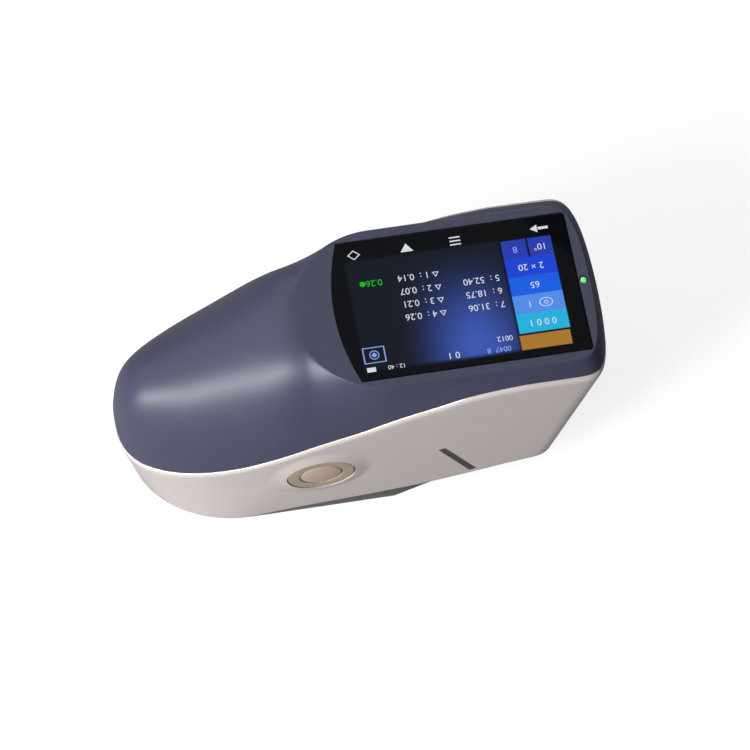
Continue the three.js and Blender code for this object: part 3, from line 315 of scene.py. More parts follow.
class Field:
    """A number, place or colour that changes over a surface: one socket of a material's nodes."""

    def __init__(self, tree, socket):
        self.tree = tree
        self.socket = socket

    def node(self, kind, output, settings, sockets):
        """Adds a node: its settings first, then the values or links of its sockets."""
        made = self.tree.nodes.new(kind)
        for name, value in settings.items():
            if name == "stops":
                for spare in list(made.color_ramp.elements)[1:]:
                    made.color_ramp.elements.remove(spare)
                made.color_ramp.elements[0].position, made.color_ramp.elements[0].color = value[0]
                for position, colour in value[1:]:
                    made.color_ramp.elements.new(position).color = colour
            elif name == "ramp_interpolation":
                made.color_ramp.interpolation = value
            else:
                setattr(made, name, value)
        for name, value in sockets.items():
            socket = next(s for s in made.inputs if s.identifier == name)
            if isinstance(value, Field):
                self.tree.links.new(value.socket, socket)
            else:
                socket.default_value = value
        return Field(self.tree, next(s for s in made.outputs if s.identifier == output))

    def math(self, operation, *values):
        names = ("Value", "Value_001", "Value_002")
        return self.node("ShaderNodeMath", "Value", {"operation": operation}, dict(zip(names, values)))

    def __add__(self, other):
        return self.math("ADD", self, other)

    def __sub__(self, other):
        return self.math("SUBTRACT", self, other)

    def __rsub__(self, other):
        return self.math("SUBTRACT", other, self)

    def __mul__(self, other):
        return self.math("MULTIPLY", self, other)

    __radd__ = __add__
    __rmul__ = __mul__

    def lay(self, socket):
        """Feeds this field to a socket of the material's shader."""
        shader = next(n for n in self.tree.nodes if n.type == "BSDF_PRINCIPLED")
        self.tree.links.new(self.socket, shader.inputs[socket])


def new_finish(name, **fixed):
    """A material with its shader's fixed values set, and the place on the piece in millimetres."""
    material = bpy.data.materials.new(name)
    material.use_nodes = True
    tree = material.node_tree
    shader = next(n for n in tree.nodes if n.type == "BSDF_PRINCIPLED")
    for socket, value in fixed.items():
        shader.inputs[socket.replace("_", " ")].default_value = value
    place = Field(tree, tree.nodes.new("ShaderNodeTexCoord").outputs["Object"])
    return material, place.node("ShaderNodeVectorMath", "Vector", {"operation": "SCALE"},
                                {"Vector": place, "Scale": 1 / mm})


def noise(place, per_mm, detail=2.0, rough=0.5):
    """Soft clouds from 0 to 1, with that many to a millimetre."""
    return place.node("ShaderNodeTexNoise", "Fac", {},
                      {"Vector": place, "Scale": per_mm, "Detail": detail, "Roughness": rough})


def spread(field, low, high, to_low=0.0, to_high=1.0):
    """The field from low to high, turned smoothly into to_low to to_high."""
    ends = {"From Min": low, "From Max": high, "To Min": to_low, "To Max": to_high}
    return field.node("ShaderNodeMapRange", "Result", {"interpolation_type": "SMOOTHSTEP"},
                      {"Value": field, **ends})


def mixed(share, first, second):
    """A colour between two, by the share of the second."""
    return share.node("ShaderNodeMix", "Result_Color", {"data_type": "RGBA"},
                      {"Factor_Float": share, "A_Color": first, "B_Color": second})


def stretched(place, x, y, z):
    return place.node("ShaderNodeVectorMath", "Vector", {"operation": "MULTIPLY"},
                      {"Vector": place, "Vector_001": (x, y, z)})


def bumped(height, depth):
    """A Bump node that raises the height field by that depth in metres."""
    return height.node("ShaderNodeBump", "Normal", {}, {"Height": height, "Strength": 1.0, "Distance": depth})


def moulding(name, colour, roughness, mottle=0.04, grain_per_mm=5.0, grain_depth=2e-6, **fixed):
    """A moulded plastic: cloudy colour, a fine grain, and faint rubbing marks in its gloss."""
    material, place = new_finish(name, **fixed)
    light = [min(c * (1 + mottle), 1) for c in colour[:3]] + [1]
    dark = [c * (1 - mottle) for c in colour[:3]] + [1]
    clouds = noise(place, 0.05, 4.0, 0.6)
    grain = noise(place, grain_per_mm, 3.0)
    rubbed = noise(stretched(place, 0.05, 1.2, 0.5), 1.0, 3.0, 0.7)
    mixed(spread(clouds * 0.7 + grain * 0.3, 0.3, 0.7), dark, light).lay("Base Color")
    satin = spread(grain, 0.2, 0.8, roughness * 0.9, roughness * 1.1)
    (spread(rubbed, 0.5, 0.75, 0.0, 0.05) + satin).lay("Roughness")
    bumped(grain, grain_depth).lay("Normal")
    return material


def painted(piece, material):
    piece.data.materials.clear()
    piece.data.materials.append(material)


shell_gloss = moulding("shell_gloss", linear(192, 182, 180), 0.2, 0.015, 4.0, 1.5e-6,
                       Coat_Weight=0.6, Coat_Roughness=0.06)
painted(shell, shell_gloss)
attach(shell, "body")
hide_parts("body_shell")

# The slanted mark is a strip of black film in a groove of the near wall; it points to the port below.
mark_film = moulding("mark_film", linear(50, 44, 39), 0.35, 0.08, 6.0, 2e-6)
painted(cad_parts["port_mark"], mark_film)


# The base tray is the dark grey glossy ABS moulding that the instrument stands on. Its side rises
# towards the nose, where it narrows to a round snout over the port. Screws from below hold it.
edge_segments = 3
flat_degrees = 1
sharp_degrees = 40


def dressed_copy(name, node, edge):
    """A copy of a solid with its corners merged, its flat faces joined and its edges rounded."""
    piece = bpy.data.objects.new(name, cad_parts[node].data.copy())
    bpy.context.scene.collection.objects.link(piece)
    edited(piece, merge, (bpy.ops.mesh.dissolve_limited, {"angle_limit": math.radians(flat_degrees)}))
    modified(piece, "BEVEL", width=edge * mm, segments=edge_segments, limit_method="ANGLE",
             angle_limit=math.radians(sharp_degrees), use_clamp_overlap=True)
    smoothed(piece)
    return piece


tray = dressed_copy("base_tray", "base_cover", 0.3)
tray_gloss = moulding("tray_gloss", linear(84, 76, 76), 0.24, 0.05, 4.0, 3e-6,
                      Coat_Weight=0.3, Coat_Roughness=0.08)
painted(tray, tray_gloss)
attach(tray, "body")
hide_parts("base_cover")

# The battery cover is a flat plate of the same grey ABS, let into the tray and held by one screw.
battery_lid = dressed_copy("battery_lid", "battery_cover", 0.25)
painted(battery_lid, tray_gloss)
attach(battery_lid, "body")
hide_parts("battery_cover")

# Two rubber feet are glued into round seats under the tail.
rubber_skin = moulding("rubber_skin", linear(34, 34, 36), 0.85, 0.12, 3.0, 2e-5)
for side in ("near", "far"):
    pad = dressed_copy(f"foot_pad_{side}", f"rubber_foot_{side}", 0.35)
    painted(pad, rubber_skin)
    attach(pad, "body")
    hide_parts(f"rubber_foot_{side}")

# The port ring and the turning insert with the measuring hole are black moulded nylon.
port_black = moulding("port_black", linear(30, 30, 32), 0.5, 0.1, 2.5, 1e-5)
for name, node, ride_on in (("port_collar", "port_ring", "body"),
                            ("port_insert", "aperture_insert", "insert")):
    piece = dressed_copy(name, node, 0.2)
    painted(piece, port_black)
    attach(piece, ride_on)
    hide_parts(node)


# The measure button is a beige ring, clamped behind the wall, with a round cap that is pressed
# inside it. Both are moulded in ABS with a fine satin grain.
def spun(name, profile, steps):
    """A turned piece: a point is drawn through the profile of radius and height, then spun."""
    piece = primitive(name, bpy.ops.mesh.primitive_plane_add, size=mm)
    bpy.ops.object.mode_set(mode="EDIT")
    bpy.ops.mesh.select_all(action="SELECT")
    bpy.ops.mesh.merge(type="CENTER")
    bpy.ops.transform.translate(value=(profile[0][0] * mm, 0, profile[0][1] * mm))
    for before, after in zip(profile, profile[1:]):
        step = ((after[0] - before[0]) * mm, 0, (after[1] - before[1]) * mm)
        bpy.ops.mesh.extrude_region_move(TRANSFORM_OT_translate={"value": step})
    bpy.ops.mesh.select_all(action="SELECT")
    bpy.ops.mesh.spin(steps=steps, angle=2 * math.pi, center=(0, 0, 0), axis=(0, 0, 1))
    bpy.ops.mesh.select_all(action="SELECT")
    bpy.ops.mesh.remove_doubles(threshold=2e-6)
    bpy.ops.mesh.normals_make_consistent(inside=False)
    bpy.ops.object.mode_set(mode="OBJECT")
    return piece


cap_radius = 8.2
ring_rise = 1
ring_edge = 0.75
ring_inner_edge = 0.35
cap_crown = 0.5
flange_seat = wall + seat_gap
flange_depth = 1.4
flange_radius = 15.3
cap_flange_radius = 9.8
cap_flange_depth = 0.9
stem_radius = 2
stem_end = 7.6
ring_inner = cap_radius + seat_gap


def arc(middle_r, middle_h, radius_r, radius_h, start, end, count):
    """Points of a profile on an arc, its angles in degrees from the outward direction."""
    angles = [math.radians(start + (end - start) * i / count) for i in range(count + 1)]
    return [(middle_r + radius_r * math.cos(a), middle_h + radius_h * math.sin(a)) for a in angles]


ring_profile = [
    (ring_inner, -flange_seat - flange_depth), (flange_radius, -flange_seat - flange_depth),
    (flange_radius, -flange_seat), (ring_radius, -flange_seat),
    *arc(ring_radius - ring_edge, ring_rise - ring_edge, ring_edge, ring_edge, 0, 90, 8),
    *arc(ring_inner + ring_inner_edge, ring_rise - ring_inner_edge, ring_inner_edge, ring_inner_edge,
         90, 180, 5),
    (ring_inner, -flange_seat - flange_depth),
]
button_ring = settled(spun("button_ring", ring_profile, round_steps), button_frame)
smoothed(button_ring)
cap_rear = -flange_seat - flange_depth - seat_gap
cap_profile = [
    (0, -stem_end), (stem_radius, -stem_end), (stem_radius, cap_rear - cap_flange_depth),
    (cap_flange_radius, cap_rear - cap_flange_depth), (cap_flange_radius, cap_rear), (cap_radius, cap_rear),
    *arc(cap_radius - ring_edge, ring_rise - ring_edge, ring_edge, ring_edge, 0, 84, 5),
    *[(cap_radius * share, ring_rise + cap_crown * (1 - share ** 2)) for share in (0.75, 0.5, 0.25, 0)],
]
button_cap = settled(spun("button_cap", cap_profile, round_steps), button_frame)
smoothed(button_cap)
ring_satin = moulding("ring_satin", linear(156, 142, 123), 0.42, 0.03, 7.0, 4e-6)
cap_satin = moulding("cap_satin", linear(173, 154, 137), 0.45, 0.03, 7.0, 4e-6)
for piece, node, ride_on, finish in ((button_ring, "button_bezel", "body", ring_satin),
                                     (button_cap, "measure_button", "button", cap_satin)):
    painted(piece, finish)
    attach(piece, ride_on)
    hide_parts(node)

# The power switch on the far wall slides in a slot; its knob is ribbed black nylon.
switch_knob = dressed_copy("switch_slider", "power_switch_knob", 0.15)
painted(switch_knob, port_black)
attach(switch_knob, "switch_knob")
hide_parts("power_switch_knob")

# The data socket beside it is a drawn steel shield round a tongue with the contacts.
steel_skin, steel_place = new_finish("steel_skin", Metallic=1.0)
brushed = noise(stretched(steel_place, 0.3, 6.0, 6.0), 1.0, 3.0, 0.6)
mixed(brushed, linear(140, 143, 147), linear(176, 178, 181)).lay("Base Color")
spread(brushed, 0.2, 0.8, 0.25, 0.42).lay("Roughness")
bumped(brushed, 2e-6).lay("Normal")
socket_shield = dressed_copy("socket_shield", "data_socket", 0.1)
painted(socket_shield, steel_skin)
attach(socket_shield, "body")
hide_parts("data_socket")

# The screws are zinc-plated steel, turned and slotted, and hold the tray, the door, the sphere and
# the stack of boards.
zinc_skin, zinc_place = new_finish("zinc_skin", Metallic=1.0)
zinc_clouds = noise(zinc_place, 1.5, 4.0, 0.6)
mixed(zinc_clouds, linear(128, 130, 134), linear(186, 187, 188)).lay("Base Color")
spread(zinc_clouds, 0.3, 0.7, 0.28, 0.5).lay("Roughness")
bumped(zinc_clouds, 4e-6).lay("Normal")
screw_nodes = ["door_screw", "base_screw_near", "base_screw_far"]
screw_nodes += [f"{group}_screw_{number}" for group in ("sphere", "stack") for number in (1, 2, 3, 4)]
for node in screw_nodes:
    painted(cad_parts[node], zinc_skin)

# The measuring sphere is moulded in two halves from a chalky white fluoropolymer.
sphere_chalk = moulding("sphere_chalk", linear(240, 239, 233), 0.85, 0.02, 3.0, 1e-5)
for node in ("sphere_upper", "sphere_lower"):
    painted(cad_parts[node], sphere_chalk)

# The chassis and the lens tube are milled from aluminium and blasted to an even satin.
blasted, blasted_place = new_finish("blasted_aluminium", Metallic=1.0)
blast_grain = noise(blasted_place, 4.0, 3.0)
mixed(blast_grain, linear(160, 163, 166), linear(196, 198, 200)).lay("Base Color")
spread(blast_grain, 0.2, 0.8, 0.38, 0.52).lay("Roughness")
bumped(blast_grain, 1e-5).lay("Normal")
for node in ("chassis", "lens_tube"):
    painted(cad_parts[node], blasted)

# The spectrometer's box and lid are black anodised, and the display module, the button's switch and
# the power switch's body are black too. The slit plate between them is bare steel.
anodised = moulding("anodised_black", linear(26, 26, 29), 0.45, 0.15, 3.0, 8e-6)
for node in ("spectrometer_box", "spectrometer_lid", "display_module", "button_switch",
             "power_switch_body"):
    painted(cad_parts[node], anodised)
painted(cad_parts["slit_plate"], steel_skin)

# The grating is a ruled mirror on a glass blank, and the lamp is a capsule with a bright cup.
ruled, ruled_place = new_finish("ruled_mirror", Metallic=1.0)
rulings = noise(stretched(ruled_place, 0.2, 9.0, 0.2), 2.0, 1.0)
mixed(rulings, linear(206, 212, 220), linear(228, 224, 232)).lay("Base Color")
spread(rulings, 0.2, 0.8, 0.06, 0.16).lay("Roughness")
bumped(rulings, 1e-6).lay("Normal")
for node in ("grating", "lamp"):
    painted(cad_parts[node], ruled)

# The boards are green glass-fibre laminate under solder mask, with copper runs showing as a relief.
mask_green, mask_place = new_finish("solder_mask", Coat_Weight=0.4)
weave = noise(mask_place, 2.5, 2.0)
runs = mask_place.node("ShaderNodeTexBrick", "Fac", {"offset": 0.5, "squash": 1.0},
                       {"Vector": mask_place, "Scale": 0.35, "Mortar Size": 0.06, "Mortar Smooth": 0.2})
mixed(runs * 0.6 + weave * 0.3, linear(26, 84, 52), linear(66, 128, 84)).lay("Base Color")
spread(weave, 0.2, 0.8, 0.3, 0.5).lay("Roughness")
bumped(runs, 1e-5).lay("Normal")
for node in ("button_board", "io_board", "sensor_board", "main_board"):
    painted(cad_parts[node], mask_green)

# The battery is a lithium pack in a shrunk blue film.
shrunk_film = moulding("shrunk_film", linear(56, 84, 128), 0.35, 0.06, 0.8, 3e-5, Coat_Weight=0.3)
painted(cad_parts["battery_pack"], shrunk_film)


# The top cover is one thin dark blue-grey moulding with a satin gloss: the arched handle, the flat
# platform for the screen, and the bevels between. It is clipped to the shell from inside, and its
# edge stands a little in from the wall, so the white lip shows all round.
crease_tail = -24.3
crease_arc_run = 34.3
crease_nose = 90.3
crease_half_width = 33.3
arch_fullness = 2.8
shoulder_fullness = 4.3
shoulder_x = -13
shoulder_tail_run = 42
shoulder_nose_run = 44
shoulder_slope = 0.2
shoulder_run = 1.5
widest_flat = 0.95
handle_shares = (
    (0, 0.345), (0.003, 0.44), (0.01, 0.55), (0.02, 0.625), (0.033, 0.67), (0.055, 0.704),
    (0.1153, 0.756), (0.1792, 0.822), (0.2589, 0.913), (0.3288, 0.979), (0.352, 0.9932),
    (0.3701, 1),
)
handle_table = smooth_table(handle_shares)
cover_inset = 0.3
edge_tuck_tail = 0.2
edge_tuck_nose = 1.3
crease_softness = 0.5
tuck_power = 10
lowest_arch = 0.4
bevel_columns = 30
platform_columns = 14
end_stations = 60
nose_stations = 40
arc_stations = 40
platform_pitch = 1.6
platform_stations = 40
crease_pitch = 0.25
nose_crease_pitch = 0.15
nose_crease_reach = 1.2
closest_stations = 0.02
bevel_crowding = 1.4


def fall(t, bow, fill):
    """How much of a width is left on the way round an end: all of it at t = 0, nothing at 1."""
    return max(1 - clamp(t) ** bow, 0) ** (1 / fill)


def edge_tuck(x, share):
    """How far the cover's rim bends in from the wall's face, which grows towards the nose."""
    most = edge_tuck_tail + (edge_tuck_nose - edge_tuck_tail) * clamp((x - tail_x) / body_length)
    return most * share ** tuck_power


def half_width(x, z, inset):
    """Half the plan outline's width at x and a level, stepped in by the inset."""
    tail_part = (tail_at(z) + inset + taper_at(z) - x) / taper_at(z)
    nose_part = (x - (nose_at(z) - inset - nose_run)) / nose_run
    left = fall(tail_part, tail_bow, fill_at(z)) * fall(nose_part, nose_bow, nose_fill)
    return (side_at(z) - inset) * left


def crease_width(x, inset):
    """Half the platform's width at x, or of the hollow under it where the inset is the wall."""
    arch_part = fall((crease_tail + crease_arc_run - x) / (crease_arc_run - inset), 2, 2)
    nose_part = fall((x - (crease_nose - inset - nose_run)) / nose_run, nose_bow, nose_fill)
    return (crease_half_width - inset) * arch_part * nose_part


def fullness_at(x):
    """How square the arch is at x. It is squarest at the shoulder, where the platform widens."""
    run = shoulder_tail_run if x < shoulder_x else shoulder_nose_run
    near = 1 - clamp(abs(x - shoulder_x) / run)
    return arch_fullness + (shoulder_fullness - arch_fullness) * near * near * (3 - 2 * near)


def crown_height(x, edge, width, inset):
    """How high the cover's arch would reach at x if the platform didn't cut it off.
    The ridge's slope runs on a little past the crease, so the flanks have no kink there.
    """
    lowest = edge + lowest_arch
    if x < crease_tail + inset:
        return max(height_along(handle_table, x) - inset, lowest)
    top = body_height - inset
    if x > crease_nose - inset:
        return max(top - (x - crease_nose + inset) / (nose_x - crease_nose) * (body_height - edge), lowest)
    flat_share = min(crease_width(x, inset) / width, widest_flat)
    past = x - crease_tail - inset
    arch = (top - edge) / (1 - flat_share ** fullness_at(x))
    return edge + arch + shoulder_slope * past * math.exp(-past / shoulder_run)


def lower_of(a, b, softness):
    """The lower of two heights, rounded where they cross."""
    share = clamp(0.5 + (b - a) / (2 * softness))
    return b + (a - b) * share - softness * share * (1 - share)


cover_tail = tail_x + cover_inset
cover_nose = nose_x - cover_inset
stations = [cover_tail + tail_taper_edge * (1 - math.cos(quarter * i / end_stations))
            for i in range(end_stations + 1)]
stations += [crease_tail + crease_arc_run * (1 - math.cos(quarter * i / arc_stations))
             for i in range(arc_stations + 1)]
stations += [crease_tail - crease_pitch * i for i in range(1, 7)]
stations += [crease_tail + crease_arc_run + i * platform_pitch for i in range(1, platform_stations)]
stations += [cover_nose - nose_run * (1 - math.sin(quarter * i / nose_stations) ** (2 / nose_bow))
             for i in range(nose_stations + 1)]
stations += [crease_nose - nose_crease_reach + nose_crease_pitch * i for i in range(12)]
ordered = sorted(stations)
stations = [x for i, x in enumerate(ordered) if i == 0 or x - ordered[i - 1] > closest_stations]
stations[-1] = cover_nose
cover_columns = [("bevel", math.sin(quarter * i / bevel_columns) ** bevel_crowding)
                 for i in range(bevel_columns)]
cover_columns += [("flat", (i / platform_columns) ** 2) for i in range(platform_columns + 1)]
outer_face = [(-1, kind, share, 0) for kind, share in cover_columns]
outer_face += [(1, kind, share, 0) for kind, share in cover_columns[-2::-1]]
inner_face = [(side, kind, share, wall) for side, kind, share, _ in reversed(outer_face)]
section = outer_face + inner_face + outer_face[:1]


def cover_corner(column, row):
    """Where a corner of the cover stands. The section goes over the outer face and back inside."""
    side, kind, share, inset = section[column]
    x = cover_tail + inset + (stations[row] - cover_tail) * (1 - 2 * inset / (cover_nose - cover_tail))
    on_platform = crease_tail + inset < x < crease_nose - inset
    edge = height_along(parting_table, x) + seat_gap / 2
    width = max(half_width(x, max(edge, tail_edge_height), cover_inset + inset), 1e-4)
    crown = crown_height(x, edge, width, inset)
    cut = max(crown - body_height + inset, 0) / (crown - edge)
    flat = width * cut ** (1 / fullness_at(x)) if on_platform else 0
    y = width + (flat - width) * share if kind == "bevel" else flat * (1 - share)
    top = edge + (crown - edge) * (1 - min(y / width, 1) ** fullness_at(x))
    rim = min(edge_tuck(x, y / width), y)
    return x, side * (y - rim), lower_of(top, body_height - inset, crease_softness)


cover = formed_grid("cover_moulding", len(section) - 1, len(stations) - 1, cover_corner)
edited(cover, (bpy.ops.mesh.remove_doubles, {"threshold": 5e-6}), outwards)

glass_tail = -2.8
glass_nose = 85.6
glass_half_width = 29.1
glass_bulge = 5.5
glass_corner = 1.5
bulge_steps = 40
corner_steps = 6
glass_thickness = 1.4
glass_edge = 0.3
glass_sink = 0.1
glass_top = body_height - glass_sink
window_tail = -2
window_nose = 79
window_half_width = 28.2
led_x = 87.8
led_radius = 1.5


def glass_outline(margin):
    """The glass's outline: straight sides, small corners, and a handle end that bulges outwards."""
    side = glass_half_width + margin
    tail = glass_tail - margin
    nose = glass_nose + margin
    points = []
    for i in range(bulge_steps + 1):
        share = i / bulge_steps
        points.append((tail - 4 * glass_bulge * share * (1 - share), side * (1 - 2 * share)))
    for turn_y, start in ((-1, -90), (1, 0)):
        for i in range(corner_steps + 1):
            angle = math.radians(start + 90 * i / corner_steps)
            points.append((nose - glass_corner + glass_corner * math.cos(angle),
                           turn_y * (side - glass_corner) + glass_corner * math.sin(angle)))
    return points


def raised_outline(name, points, low, high):
    """A plate of that outline between two levels: a circle of as many points, moved and extruded."""
    piece = primitive(name, bpy.ops.mesh.primitive_circle_add, vertices=len(points), radius=1,
                      fill_type="NGON")
    for vertex, (x, y) in zip(piece.data.vertices, points):
        vertex.co = Vector((x, y, low)) * mm
    rise = {"value": (0, 0, (high - low) * mm)}
    edited(piece, (bpy.ops.mesh.extrude_region_move, {"TRANSFORM_OT_translate": rise}),
           (bpy.ops.mesh.select_all, {"action": "SELECT"}), outwards)
    return piece


pocket = raised_outline("glass_pocket", glass_outline(seat_gap), glass_top - glass_thickness - seat_gap,
                        body_height + overrun)
window = block("screen_window", (window_tail, -window_half_width, body_height - overrun),
               (window_nose, window_half_width, body_height))
led_hole = settled(primitive("led_hole", bpy.ops.mesh.primitive_cylinder_add, vertices=48,
                             radius=(led_radius + seat_gap) * mm, depth=2 * overrun * mm,
                             location=(led_x * mm, 0, body_height * mm)))
carved(cover, pocket, window, led_hole)
smoothed(cover)
cover_satin = moulding("cover_satin", linear(55, 56, 78), 0.46, 0.03, 6.0, 2.5e-6)
painted(cover, cover_satin)
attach(cover, "body")
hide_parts("top_cover")

# The screen glass is one black-backed pane with ground edges, bonded into the platform. The panel
# behind it shows a read-out: a dark blue glow, a column of blue fields, and an orange field.
glass = raised_outline("screen_pane", glass_outline(0), glass_top - glass_thickness, glass_top)
modified(glass, "BEVEL", width=glass_edge * mm, segments=4, limit_method="ANGLE",
         angle_limit=math.radians(sharp_degrees))
smoothed(glass)
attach(glass, "body")
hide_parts("screen_glass")


def inside(place_axis, low, high, edge=0.15):
    """1 between two places along an axis, 0 outside, with soft edges."""
    return spread(place_axis, low - edge, low + edge) * spread(place_axis, high - edge, high + edge, 1.0, 0.0)


pane_black, pane_place = new_finish("pane_black", IOR=1.5, Specular_IOR_Level=0.07, Emission_Strength=1.0)
across_pane = pane_place.node("ShaderNodeSeparateXYZ", "X", {}, {"Vector": pane_place})
up_pane = pane_place.node("ShaderNodeSeparateXYZ", "Y", {}, {"Vector": pane_place})
smears = noise(stretched(pane_place, 0.1, 0.5, 1.0), 0.6, 4.0, 0.7)
mixed(smears, linear(7, 8, 11), linear(12, 13, 17)).lay("Base Color")
spread(smears, 0.4, 0.8, 0.03, 0.09).lay("Roughness")
glow_x = 43
glow_reach = 32
glow_low = -22
glow_high = 26
glow_offset = across_pane - glow_x
glow_aside = glow_offset.math("ABSOLUTE", glow_offset)
glow_fall = spread(glow_aside, 0, glow_reach, 1.0, 0.0) * spread(up_pane, glow_low, glow_high, 1.0, 0.0)
glow = mixed(glow_fall.math("POWER", glow_fall, 1.5), linear(17, 20, 30), linear(60, 87, 176))
panel_tail = -1
panel_nose = 58.6
panel_low = -25.4
panel_high = 21
in_panel = inside(across_pane, panel_tail, panel_nose, 1.0) * inside(up_pane, panel_low, panel_high, 1.2)
field_tail = 59.3
field_nose = 78.8
field_low = -18.9
field_high = 20.3
field_share = (up_pane - field_low) * (1 / (field_high - field_low))
field_colour = field_share.node(
    "ShaderNodeValToRGB", "Color",
    {"stops": [(0.0, linear(34, 175, 218)), (0.2, linear(82, 138, 228)), (0.4, linear(22, 92, 222)),
               (0.6, linear(24, 66, 208)), (0.8, linear(38, 58, 170))], "ramp_interpolation": "CONSTANT"},
    {"Fac": field_share})
in_fields = inside(across_pane, field_tail, field_nose) * inside(up_pane, field_low, field_high)
split_x = 69.3
split_reach = 0.35
split_low = 12.4
in_split = (inside(across_pane, split_x - split_reach, split_x + split_reach)
            * inside(up_pane, split_low, field_high))
orange_tail = 59
orange_nose = 78.4
orange_low = -25.7
orange_high = -19.7
in_orange = inside(across_pane, orange_tail, orange_nose) * inside(up_pane, orange_low, orange_high)
picture = mixed(in_panel, (0, 0, 0, 1), glow)
picture = mixed(in_fields - in_split, picture, field_colour)
mixed(in_orange, picture, linear(169, 117, 42)).lay("Emission Color")
painted(glass, pane_black)

# The read-out's characters are plain numbers and signs, lit from behind. They are flat shapes just
# over the glass, and stand upright for the reader at the far side.
print_gap = 0.03
print_level = glass_top + print_gap
digit_height = 2.6
small_height = 2.1
clock_height = 1.7
capital_share = 0.69
column_x = 69
row_levels = (11.1, 5.5, 0.1, -5.4)


def lettering(text, x, y, height=digit_height):
    """Plain characters around a place on the glass."""
    sign = primitive("lettering", bpy.ops.object.text_add)
    sign.data.body = text
    sign.data.size = height / capital_share * mm
    sign.data.align_x = "CENTER"
    sign.data.align_y = "CENTER"
    bpy.ops.object.convert(target="MESH")
    place = Matrix.Translation(Vector((x, y, print_level)) * mm)
    return settled(bpy.context.object, place @ Matrix.Rotation(math.pi, 4, "Z"))


def figure(corners, x, y, reach, line=0, turn=0, width=1, height=1):
    """A regular figure around a place on the glass: filled, or only its outline of some width."""
    sign = primitive("figure", bpy.ops.mesh.primitive_circle_add, vertices=corners, radius=reach * mm,
                     fill_type="NGON")
    if line:
        edited(sign, (bpy.ops.mesh.inset, {"thickness": line * mm}), (bpy.ops.mesh.delete, {"type": "FACE"}))
    settled(sign, Matrix.Rotation(math.radians(turn), 4, "Z"))
    place = Matrix.Translation(Vector((x, y, print_level)) * mm)
    return settled(sign, place @ Matrix.Diagonal((width, height, 1, 1)))


def lit_group(name, signs, finish):
    """Joins the signs of one colour into one piece on the glass."""
    pick(signs[0])
    for sign in signs:
        sign.select_set(True)
    bpy.ops.object.join()
    signs[0].name = name
    painted(signs[0], finish)
    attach(signs[0], "body")


def lit_finish(name, colour):
    """A backlit colour: it shines evenly, a little cloudy, and has no gloss of its own."""
    material, place = new_finish(name, Specular_IOR_Level=0.1, Emission_Strength=1.0)
    clouds = noise(place, 1.5, 2.0)
    mixed(clouds, linear(6, 6, 8), linear(10, 10, 12)).lay("Base Color")
    spread(clouds, 0.3, 0.7, 0.4, 0.6).lay("Roughness")
    mixed(clouds, linear(*(0.93 * c for c in colour)), linear(*colour)).lay("Emission Color")
    return material


white_signs = [lettering(text, 23.9, y) for text, y in
               zip(("1 :  0.14", "2 :  0.07", "3 :  0.21", "4 :  0.26"), row_levels)]
white_signs += [figure(3, 32.4, y, 1.5, 0.3, 180) for y in row_levels]
white_signs += [lettering(text, 49.2, y) for text, y in
                (("5 :  52.40", 5.7), ("6 :  18.75", 0.2), ("7 :  31.06", -5.4))]
white_signs += [
    lettering("10\u00b0", 74, 16.3),
    lettering("2 \u00d7 20", column_x, 8.5),
    lettering("65", column_x, 0.7),
    lettering("1", 65.5, -7.1),
    lettering("0 0 0 1", column_x, -15),
    lettering("0 1", 33, -23.6),
    lettering("0012", 53.4, -19.7, small_height),
    lettering("12 : 40", 11, -24.7, clock_height),
]
white_signs += [figure(24, 71.8, -7.1, 1.9, 0.25, width=1.4), figure(24, 71.8, -7.1, 0.8, 0.25)]
white_signs += [figure(3, 23.4, 23, 2.9, height=0.8), figure(4, 3, 23.4, 2.3, 0.4, width=1.1, height=0.9)]
white_signs += [figure(4, 42.3, y, 3, turn=45, height=0.13) for y in (22, 23.5, 25)]
white_signs += [figure(3, 73.4, 23.9, 1.9, turn=90), figure(4, 76.6, 23.9, 2.8, turn=45, height=0.28)]
white_signs += [figure(4, 1.3, -24.8, 2.4, turn=45, height=0.55)]
lit_group("readout_white", white_signs, lit_finish("lit_white", (222, 226, 235)))
blue_signs = [lettering("8", 64.3, 16.3), lettering("0047  8", 50.4, -23.9, small_height)]
blue_signs += [figure(24, 3.4, -18.9, 1.9, 0.35), figure(4, 3.4, -18.9, 1.1)]
blue_signs += [figure(4, 3.4, -18.9, 6, 0.45, turn=45, height=0.78)]
lit_group("readout_blue", blue_signs, lit_finish("lit_blue", (142, 170, 250)))
green_signs = [lettering("0.26", 8.6, 10.8), figure(24, 4.2, 10.8, 1.1)]
lit_group("readout_green", green_signs, lit_finish("lit_green", (10, 190, 20)))

# The status light is a clear domed lens over a green diode, in a dark hole near the nose.
lens_radius = 1.25
lens_foot = body_height - 2.6
lens_shoulder = body_height - 0.9
lens_rise = 0.85
lens_steps = 40
lens_profile = [(0, lens_foot), (lens_radius, lens_foot), (lens_radius, lens_shoulder),
                *arc(0, lens_shoulder, lens_radius, lens_rise, 0, 90, 8)]
led_dome = settled(spun("status_lens", lens_profile, lens_steps), Matrix.Translation((led_x * mm, 0, 0)))
smoothed(led_dome, 50)
led_green, led_place = new_finish("led_green", Roughness=0.12, Emission_Strength=0.35)
led_clouds = noise(led_place, 1.2, 2.0)
mixed(led_clouds, linear(84, 186, 104), linear(120, 208, 136)).lay("Base Color")
mixed(led_clouds, linear(120, 240, 140), linear(180, 250, 190)).lay("Emission Color")
painted(led_dome, led_green)
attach(led_dome, "body")
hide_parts("led_lens")

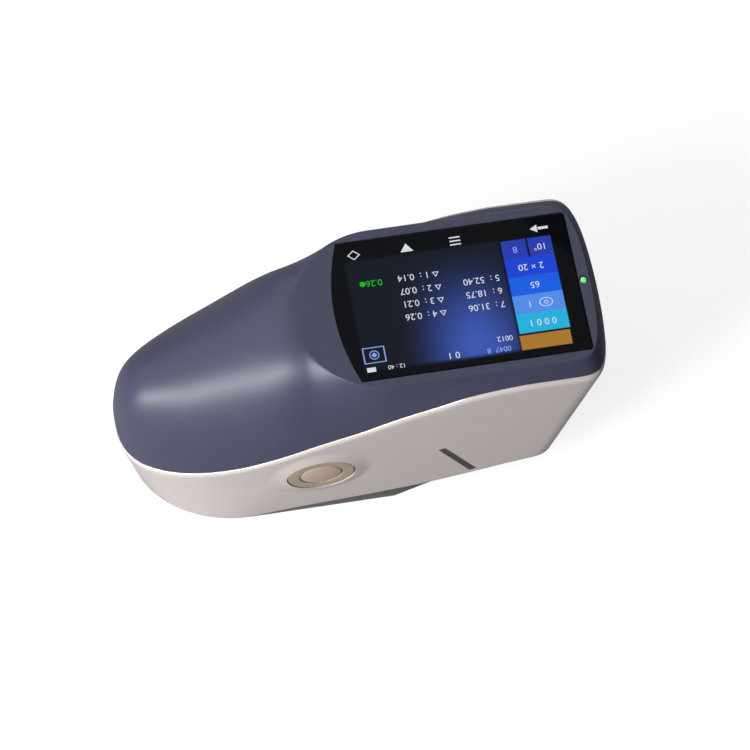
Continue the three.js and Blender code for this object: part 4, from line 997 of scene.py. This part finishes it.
# The floor is a plain pale sheet that goes on past the picture; it takes the shadow. It lies a
# little under the soles, so the two never share a plane.
floor_reach = 12
floor_drop = 0.1
floor = settled(primitive("floor", bpy.ops.mesh.primitive_plane_add, size=floor_reach,
                          location=(0, 0, -floor_drop * mm)))
floor_paint, floor_place = new_finish("floor_paint", Roughness=0.9, Emission_Strength=1.0)
floor_clouds = noise(floor_place, 0.02, 3.0)
mixed(floor_clouds, linear(146, 146, 147), linear(152, 152, 152)).lay("Base Color")
seen = floor_place.node("ShaderNodeLightPath", "Is Camera Ray", {}, {})
mixed(seen, (0, 0, 0, 1), (0.76, 0.76, 0.76, 1)).lay("Emission Color")
painted(floor, floor_paint)

# The lamps: a low bright panel past the tail, on the near side, draws the gloss on the handle. Wide
# soft ones stand over the tail and overhead, a weak one lights the far side, and the room is faint.
aim = Vector((9.22, -2.92, 50)) * mm


def panel(name, place, width, height, strength):
    """A soft rectangular lamp that faces the instrument."""
    data = bpy.data.lights.new(name, "AREA")
    data.shape = "RECTANGLE"
    data.size, data.size_y = width, height
    data.energy = strength
    lamp = bpy.data.objects.new(name, data)
    bpy.context.scene.collection.objects.link(lamp)
    lamp.location = place
    lamp.rotation_mode = "QUATERNION"
    lamp.rotation_quaternion = (aim - Vector(place)).to_track_quat("-Z", "Y")


for name, place, width, height, strength in (
        ("key_panel", (-0.9, -0.55, 0.61), 0.36, 0.95, 24),
        ("tail_panel", (-1.1, 0.3, 1.1), 1.5, 1.5, 5),
        ("top_panel", (-0.5, 0.4, 2.1), 3.0, 3.0, 16),
        ("far_panel", (0.1, 1.15, 0.65), 1.2, 0.6, 5)):
    panel(name, place, width, height, strength)
world = bpy.data.worlds.new("white_room")
bpy.context.scene.world = world
world.use_nodes = True
sky = next(n for n in world.node_tree.nodes if n.type == "BACKGROUND")
sky.inputs["Color"].default_value = (1, 1, 1, 1)
sky.inputs["Strength"].default_value = 0.06

# The camera looks down on the near side from over the tail, at the photograph's angle.
azimuth = math.radians(-16.25)
elevation = math.radians(65.42)
roll = math.radians(6.61)
distance = 1.4896
lens_length = 183.0
sensor = 36.0
towards = Vector((math.cos(elevation) * math.sin(azimuth), -math.cos(elevation) * math.cos(azimuth),
                  math.sin(elevation)))
level = (-towards).cross(Vector((0, 0, 1))).normalized()
upright = level.cross(-towards)
across = math.cos(roll) * level + math.sin(roll) * upright
upwards = -math.sin(roll) * level + math.cos(roll) * upright
camera_data = bpy.data.cameras.new("camera")
camera_data.lens = lens_length
camera_data.sensor_width = sensor
camera_data.clip_end = 20
camera = bpy.data.objects.new("camera", camera_data)
bpy.context.scene.collection.objects.link(camera)
facing = Matrix((across, upwards, towards)).transposed().to_4x4()
camera.matrix_world = Matrix.Translation(aim + distance * towards) @ facing
bpy.context.scene.camera = camera
bpy.context.scene.view_settings.view_transform = "Standard"
